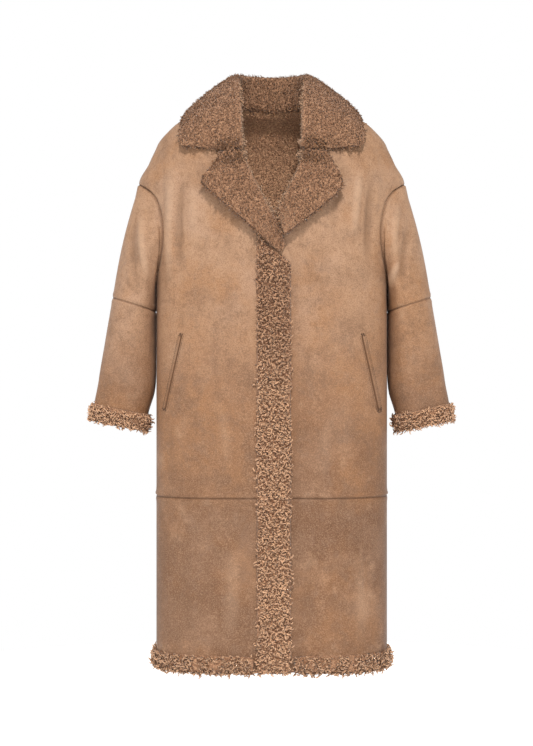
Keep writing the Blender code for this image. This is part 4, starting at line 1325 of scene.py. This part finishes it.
# %% The recipe that plants locks
def planting_recipe():
    recipe = Recipe(
        "plant_locks",
        ground="Geometry",
        locks="Collection",
        spacing="Float",
        most="Float",
        fall="Vector",
        disorder="Float",
        tuft_scale="Float",
        tuft_lean="Float",
        smallest="Float",
        largest="Float",
        kinds="Int",
        seed="Int",
        finish="Material",
    )
    node, given = recipe.node, recipe.given
    chance, vectors = recipe.chance, recipe.vectors
    inputs = {"Mesh": given["ground"], "Seed": given["seed"]}
    inputs["Distance Min"] = given["spacing"]
    inputs["Density Max"] = given["most"]
    settings, name = {"data_type": "FLOAT"}, {"Name": "pile"}
    inputs["Density Factor"] = node("GeometryNodeInputNamedAttribute", settings, name)
    settings = {"distribute_method": "POISSON"}
    points = node("GeometryNodeDistributePointsOnFaces", settings, inputs)

    lowest, highest = (-1, -1, -1), (1, 1, 1)
    messy = vectors("SCALE", chance("FLOAT_VECTOR", lowest, highest, 1), given["disorder"])
    fallen = vectors("ADD", points.beside("Normal"), given["fall"])
    inputs = {"Scale": given["tuft_scale"], "Detail": 1.0}
    tufts = node("ShaderNodeTexNoise", {}, inputs, "Color")
    centred = vectors("SUBTRACT", tufts, (0.5, 0.5, 0.5))
    mess = vectors("ADD", messy, vectors("SCALE", centred, given["tuft_lean"]))
    stand = recipe.aligned(vectors("ADD", fallen, mess), {"axis": "Z"})
    inputs = {"Axis": (0, 0, 1), "Angle": chance("FLOAT", 0.0, 2 * math.pi, 2)}
    inputs = {"Rotation": stand, "Rotate By": node("FunctionNodeAxisAngleToRotation", {}, inputs)}
    turned = node("FunctionNodeRotateRotation", {"rotation_space": "LOCAL"}, inputs)

    inputs = {"Collection": given["locks"], "Separate Children": True, "Reset Children": True}
    locks = node("GeometryNodeCollectionInfo", {"transform_space": "ORIGINAL"}, inputs)
    inputs = {"Points": points, "Instance": locks, "Pick Instance": True, "Rotation": turned}
    inputs["Instance Index"] = chance("INT", 0, given["kinds"], 3)
    inputs["Scale"] = chance("FLOAT", given["smallest"], given["largest"], 4)
    planted = node("GeometryNodeInstanceOnPoints", {}, inputs)
    settings = {"data_type": "FLOAT", "domain": "INSTANCE"}
    inputs = {"Geometry": planted, "Name": "tint", "Value": chance("FLOAT", 0.0, 1.0, 5)}
    tinted = node("GeometryNodeStoreNamedAttribute", settings, inputs)
    recipe.end(tinted, given["finish"])
    return recipe


PLANTING = planting_recipe()
print("nodes that plant locks", len(PLANTING.tree.nodes))

# %% [markdown]
# ## The ground of each piled piece
#
# The collar, the lapels and the curly bands take their form from the solids. A copy of a solid is
# welded, its triangles are paired back into four-sided faces, and subdivision once or twice makes
# it soft. Pile grows only where it would show: from each point a ray looks out along the cloth's
# direction, and where it meets more coat within a finger's width, nothing is planted.


# %% Grounds made from the solids
HIDDEN_WITHIN = 0.022
GORGE = ((0.040, -0.106), (0.104, -0.068))  # where each lapel meets the collar
STRIP_FOOT = HEM_BOTTOM + 0.055  # below this the front strip meets the hem's band
OFF_GROUND, OWN_WALL = 0.0012, 0.006  # where a ray starts, and how soon its own solid may end
everything = bmesh.new()
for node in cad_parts.values():
    everything.from_mesh(node.data)
COAT = BVHTree.FromBMesh(everything)
everything.free()


def mark_rim(mesh, thicker_than):
    """Marks the free edges of a piece: there, a ray back into it goes far before it comes out."""
    shape = bmesh.new()
    shape.from_mesh(mesh)
    itself = BVHTree.FromBMesh(shape)
    shape.free()
    shares = []
    for vertex in mesh.vertices:
        hit = itself.ray_cast(vertex.co - vertex.normal * 0.0005, -vertex.normal, thicker_than)[0]
        shares.append(0.0 if hit else 1.0)
    wider = list(shares)
    for edge in mesh.edges:
        a, b = edge.vertices
        wider[a], wider[b] = max(wider[a], 0.8 * shares[b]), max(wider[b], 0.8 * shares[a])
    mesh.attributes["pile"].data.foreach_set("value", wider)
    return sum(shares) / len(shares)


def in_gorge(place):
    (near, low), (far, high) = GORGE
    return near < abs(place.x) < far and low < place.z < high and place.y < -0.04


def meets_coat(place, normal, softened):
    """A ray out of a softened ground may leave its own solid first, before it meets another."""
    spot, facing, _, far = COAT.ray_cast(place + normal * OFF_GROUND, normal, HIDDEN_WITHIN)
    if softened and spot and facing.dot(normal) > 0 and far < OWN_WALL:
        spot = COAT.ray_cast(spot + normal * 0.0003, normal, HIDDEN_WITHIN - far)[0]
    return spot is not None


def meets_neighbour(place, normal):
    """Where two piled pieces meet edge to edge in front, their pile hides the line."""
    at_strip = place.z < STRIP_FOOT and place.y < -0.05 and abs(normal.x) > 0.5
    return at_strip or (in_gorge(place) and normal.y < 0.3)


def mark_pile(mesh, shrink, softened):
    """Gives each point of a ground its share of pile, and makes room for the locks."""
    shares, normals = [], [vertex.normal.copy() for vertex in mesh.vertices]
    for vertex, normal in zip(mesh.vertices, normals):
        hidden = meets_coat(vertex.co, normal, softened)
        meeting = meets_neighbour(vertex.co, normal)
        shares.append(0.0 if hidden and not meeting else 1.0)
    for vertex, normal, share in zip(mesh.vertices, normals, shares):
        if not in_gorge(vertex.co):
            vertex.co = vertex.co - normal * shrink * share
    for face in mesh.polygons:
        if len(mesh.materials) > 1 and not any(shares[corner] for corner in face.vertices):
            face.material_index = 1
    # where the pile gets its painted highlight, along the front folds
    rolled = [roll_share(vertex.co, normal) for vertex, normal in zip(mesh.vertices, normals)]
    mark_points(mesh, "pile", shares)
    mark_points(mesh, "roll", rolled)
    return sum(shares) / len(shares)


def roll_share(place, normal):
    """1 along the front folds of collar and lapels, whose pile faces the opening of the neck."""
    # the share of painted highlight on the pile along the front folds
    if place.y > -0.02 or place.z < -0.34:
        return 0.0
    return float(smoothstep(0.10, 0.55, -normal.x * math.copysign(1.0, place.x)))


def soft_ground(node, shrink, levels=2):
    """A softened copy of a solid, for pile to stand on."""
    shape = bmesh.new()
    shape.from_mesh(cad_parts[node].data)
    bmesh.ops.remove_doubles(shape, verts=shape.verts, dist=0.00002)
    limits = {"angle_face_threshold": math.radians(60), "angle_shape_threshold": math.radians(70)}
    bmesh.ops.join_triangles(shape, faces=shape.faces, **limits)
    bmesh.ops.recalc_face_normals(shape, faces=shape.faces)
    mesh = bpy.data.meshes.new(f"{node}_rough")
    shape.to_mesh(mesh)
    shape.free()
    rough = put_in_scene(f"{node}_rough", mesh)
    softer = rough.modifiers.new("soften", "SUBSURF")
    softer.levels = softer.render_levels = levels
    ground = plain_mesh(f"{node}_ground", rough)
    bpy.data.objects.remove(rough)
    ground.data.materials.clear()
    ground.data.materials.append(GROUND)
    ground.data.materials.append(SUEDE)
    ground.data.shade_smooth()
    print(node, "shows", round(mark_pile(ground.data, shrink, levels > 1), 2), "of its ground")
    return ground


# %% [markdown]
# ## Collar and lapels
#
# The collar stands up behind the neck and falls over the shoulders, and the lapels turn back from
# the opening. Both show the short pile, whose tight curls stand on end. Along every free edge it
# grows longer and frays.

# %% Collar and lapels
RIM_DEPTH = 0.0066
CURLS = {"locks": SHORT_LOCKS, "spacing": 0.0027, "most": 123000.0, "kinds": 2}
CURLS.update({"fall": (0.0, 0.0, -0.20), "disorder": 0.45, "tuft_scale": 85.0, "tuft_lean": 3.2})
CURLS.update({"smallest": 0.70, "largest": 1.20, "finish": SHORT_PILE})
FRAY = {"locks": EDGE_LOCKS, "spacing": 0.0027, "most": 137000.0, "kinds": 2}
FRAY.update({"fall": (0.0, -0.35, -0.70), "disorder": 0.40, "tuft_scale": 70.0, "tuft_lean": 2.4})
FRAY.update({"smallest": 0.65, "largest": 1.15, "finish": SHORT_PILE})

grounds, locks, fringes = {}, {}, {}
for seed, node in enumerate(("collar", "lapel_right", "lapel_left")):
    ground = grounds[node] = soft_ground(node, shrink=0.0022)
    locks[node] = PLANTING.run(f"{node}_pile", ground, {**CURLS, "seed": 11 + seed})
    print(node, "rim", round(mark_rim(ground.data, RIM_DEPTH), 2), "of its ground")
    fringes[node] = PLANTING.run(f"{node}_fringe", ground, {**FRAY, "seed": 21 + seed})
print("short pile faces", {n: len(p.data.polygons) for n, p in locks.items()})
print("fringe faces", {n: len(p.data.polygons) for n, p in fringes.items()})

# %% [markdown]
# ## The pile inside
#
# The same short pile lines the whole coat. It shows through the neck, so real locks grow there on
# the inner face of the back. Elsewhere inside, the felt's bump is enough.

# %% The pile at the neck
LINED = 0.115
LINED_FROM = -0.330
back = cloth["back_upper"].data
spots = np.empty(3 * len(back.vertices))
back.vertices.foreach_get("co", spots)
spots = spots.reshape(-1, 3)
inner_face = np.arange(len(spots)) >= len(spots) // 2
shows = inner_face * (np.abs(spots[:, 0]) < LINED) * (spots[:, 2] > LINED_FROM)
mark_points(back, "pile", shows)
LINING = {**CURLS, "spacing": 0.0036, "most": 70000.0, "fall": (0.0, 0.0, 0.15), "tuft_lean": 2.6}
# the inner pile's finish holds painted light and painted shade
LINING.update({"smallest": 0.60, "largest": 1.00, "seed": 51, "finish": INNER_PILE})
locks["back_upper"] = PLANTING.run("neck_lining_pile", cloth["back_upper"], LINING)
print("lining faces", len(locks["back_upper"].data.polygons))

# %% [markdown]
# ## The curly bands
#
# The strip down the front edge, the hem and the cuffs are cut from hide with longer wool. Its
# locks wave and lie over each other, and their tips make a ragged outline. At the hem they hang,
# and part into more and smaller tufts.

# %% Strip, hem and cuffs
LONG_BANDS = (
    "placket_trim",
    "hem_trim_right",
    "hem_trim_left",
    "hem_trim_back",
    "cuff_trim_right",
    "cuff_trim_left",
)
WAVES = {"locks": LONG_LOCKS, "spacing": 0.0022, "most": 206000.0, "kinds": 3}
WAVES.update({"fall": (0.0, 0.0, -0.45), "disorder": 0.34, "tuft_scale": 62.0, "tuft_lean": 2.8})
WAVES.update({"smallest": 0.60, "largest": 1.15, "finish": LONG_PILE})
HANGING = {"fall": (0.0, 0.0, -0.95), "disorder": 0.62, "tuft_scale": 95.0, "tuft_lean": 1.6}
HANGING.update({"smallest": 0.75, "largest": 1.30, "finish": HEM_PILE})
for seed, node in enumerate(LONG_BANDS):
    grounds[node] = soft_ground(node, shrink=0.0045, levels=1)
    settings = {**WAVES, **(HANGING if node.startswith("hem") else {}), "seed": 31 + seed}
    locks[node] = PLANTING.run(f"{node}_pile", grounds[node], settings)
print("long pile faces", {n: len(locks[n].data.polygons) for n in LONG_BANDS})

# %% [markdown]
# ## Floor and light
#
# The coat hangs as far over the floor as it does when someone of middling height wears it. The
# light is a pale sky round the horizon that darkens overhead, and three soft lamps: a strong one
# above the front, whose shadows show how far the collar and the lapels stand off, and two weak
# ones, from the side and from the front.

# %% Floor and light
FLOOR_LEVEL = HEM_BOTTOM - 0.28
FLOOR_REACH = 1.8

turns = np.linspace(0, 2 * math.pi, 65)[:-1]
rim = [(FLOOR_REACH * math.cos(a), FLOOR_REACH * math.sin(a), FLOOR_LEVEL) for a in turns]
paint = Finish("floor", roughness=0.9)
paint.feed("Base Color", (0.60, 0.60, 0.60, 1))
paint.feed("Emission Color", (1.0, 1.0, 1.0, 1))
paint.feed("Emission Strength", 0.85)
floor = put_in_scene("floor", new_mesh("floor", rim, [], [tuple(range(len(rim)))]))
floor.data.materials.append(paint.material)
floor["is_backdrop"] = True

sky = bpy.data.worlds.new("studio")
sky.use_nodes = True
graph, background = Graph(sky.node_tree), sky.node_tree.nodes["Background"].inputs
place = graph.node("ShaderNodeTexCoord", out="Generated")
inputs = {"Value": graph.node("ShaderNodeSeparateXYZ", {}, {0: place}, "Z")}
inputs.update({"From Min": 0.27, "From Max": 0.42, "To Min": 1.0, "To Max": 0.16})
dome = graph.node("ShaderNodeMapRange", {"interpolation_type": "SMOOTHSTEP"}, inputs)
graph.put(dome, background["Color"])
graph.put(1.0, background["Strength"])
bpy.context.scene.world = sky
bpy.context.scene.view_settings.view_transform = "Standard"

for lamp in table(
    "Lamp",
    "name tilt turn strength softness",
    ("key", 38.0, 6.0, 3.25, 7.0),
    ("side", 78.0, -58.0, 0.45, 20.0),
    ("fill", 88.0, 5.0, 0.30, 30.0),
):
    light = bpy.data.lights.new(lamp.name, "SUN")
    light.energy, light.angle = lamp.strength, math.radians(lamp.softness)
    light.color = (1.0, 0.968, 0.930)
    holder = bpy.data.objects.new(lamp.name, light)
    holder.rotation_euler = (math.radians(lamp.tilt), 0, math.radians(lamp.turn))
    bpy.context.scene.collection.objects.link(holder)

# %% [markdown]
# ## Riding on the body, in place of the solids
#
# Each cloth piece rides on the coat's one body and replaces its solid, which is hidden. It is a
# sheet, whose flat size is listed here, and its pile goes with it.

# %% Riding, replacing and flat sizes
CUTS = table(
    "Cut",
    "nodes width length area held slot",
    ("front_right_upper", 0.34, 0.82, 0.235, "hung", "suede"),
    ("front_left_upper", 0.34, 0.82, 0.228, "hung", "suede"),
    ("front_right_lower", 0.32, 0.345, None, "hung", "suede"),
    ("front_left_lower", 0.31, 0.345, None, "hung", "suede"),
    ("back_upper", 0.60, 0.83, 0.445, "hung", "suede"),
    ("back_lower", 0.58, 0.345, None, "hung", "suede"),
    ("sleeve_right_upper sleeve_left_upper", 0.46, 0.26, 0.088, "hung", "suede"),
    ("sleeve_right_lower sleeve_left_lower", 0.43, 0.27, 0.098, "hung", "suede"),
    ("collar", 0.62, 0.26, 0.120, "folded", "short_pile"),
    ("lapel_right", 0.15, 0.24, 0.0200, "folded", "short_pile"),
    ("lapel_left", 0.15, 0.18, 0.0150, "folded", "short_pile"),
    ("placket_trim", 0.075, 0.86, None, "hung", "long_pile"),
    ("hem_trim_right hem_trim_left", 0.26, 0.042, None, "hung", "long_pile"),
    ("hem_trim_back", 0.60, 0.042, None, "hung", "long_pile"),
    ("cuff_trim_right cuff_trim_left", 0.36, 0.045, None, "hung", "long_pile"),
    ("pocket_welt_right", 0.022, 0.170, 0.00125, "folded", "welt_suede"),
    ("pocket_welt_left", 0.022, 0.170, 0.00145, "folded", "welt_suede"),
)

for node, cut in [(node, cut) for cut in CUTS for node in cut.nodes.split()]:
    piece = cloth.get(node) or grounds[node]
    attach(piece, "root")
    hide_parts(node)
    on_it = [pieces[node] for pieces in (locks, fringes) if node in pieces]
    if node.startswith("pocket_welt"):
        on_it.append(stitches[node.rpartition("_")[2]])
    for extra in on_it:
        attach(extra, "root")

triangles = 0
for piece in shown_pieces():
    triangles += sum(len(face.vertices) - 2 for face in piece.data.polygons)
print("triangles in all", triangles)
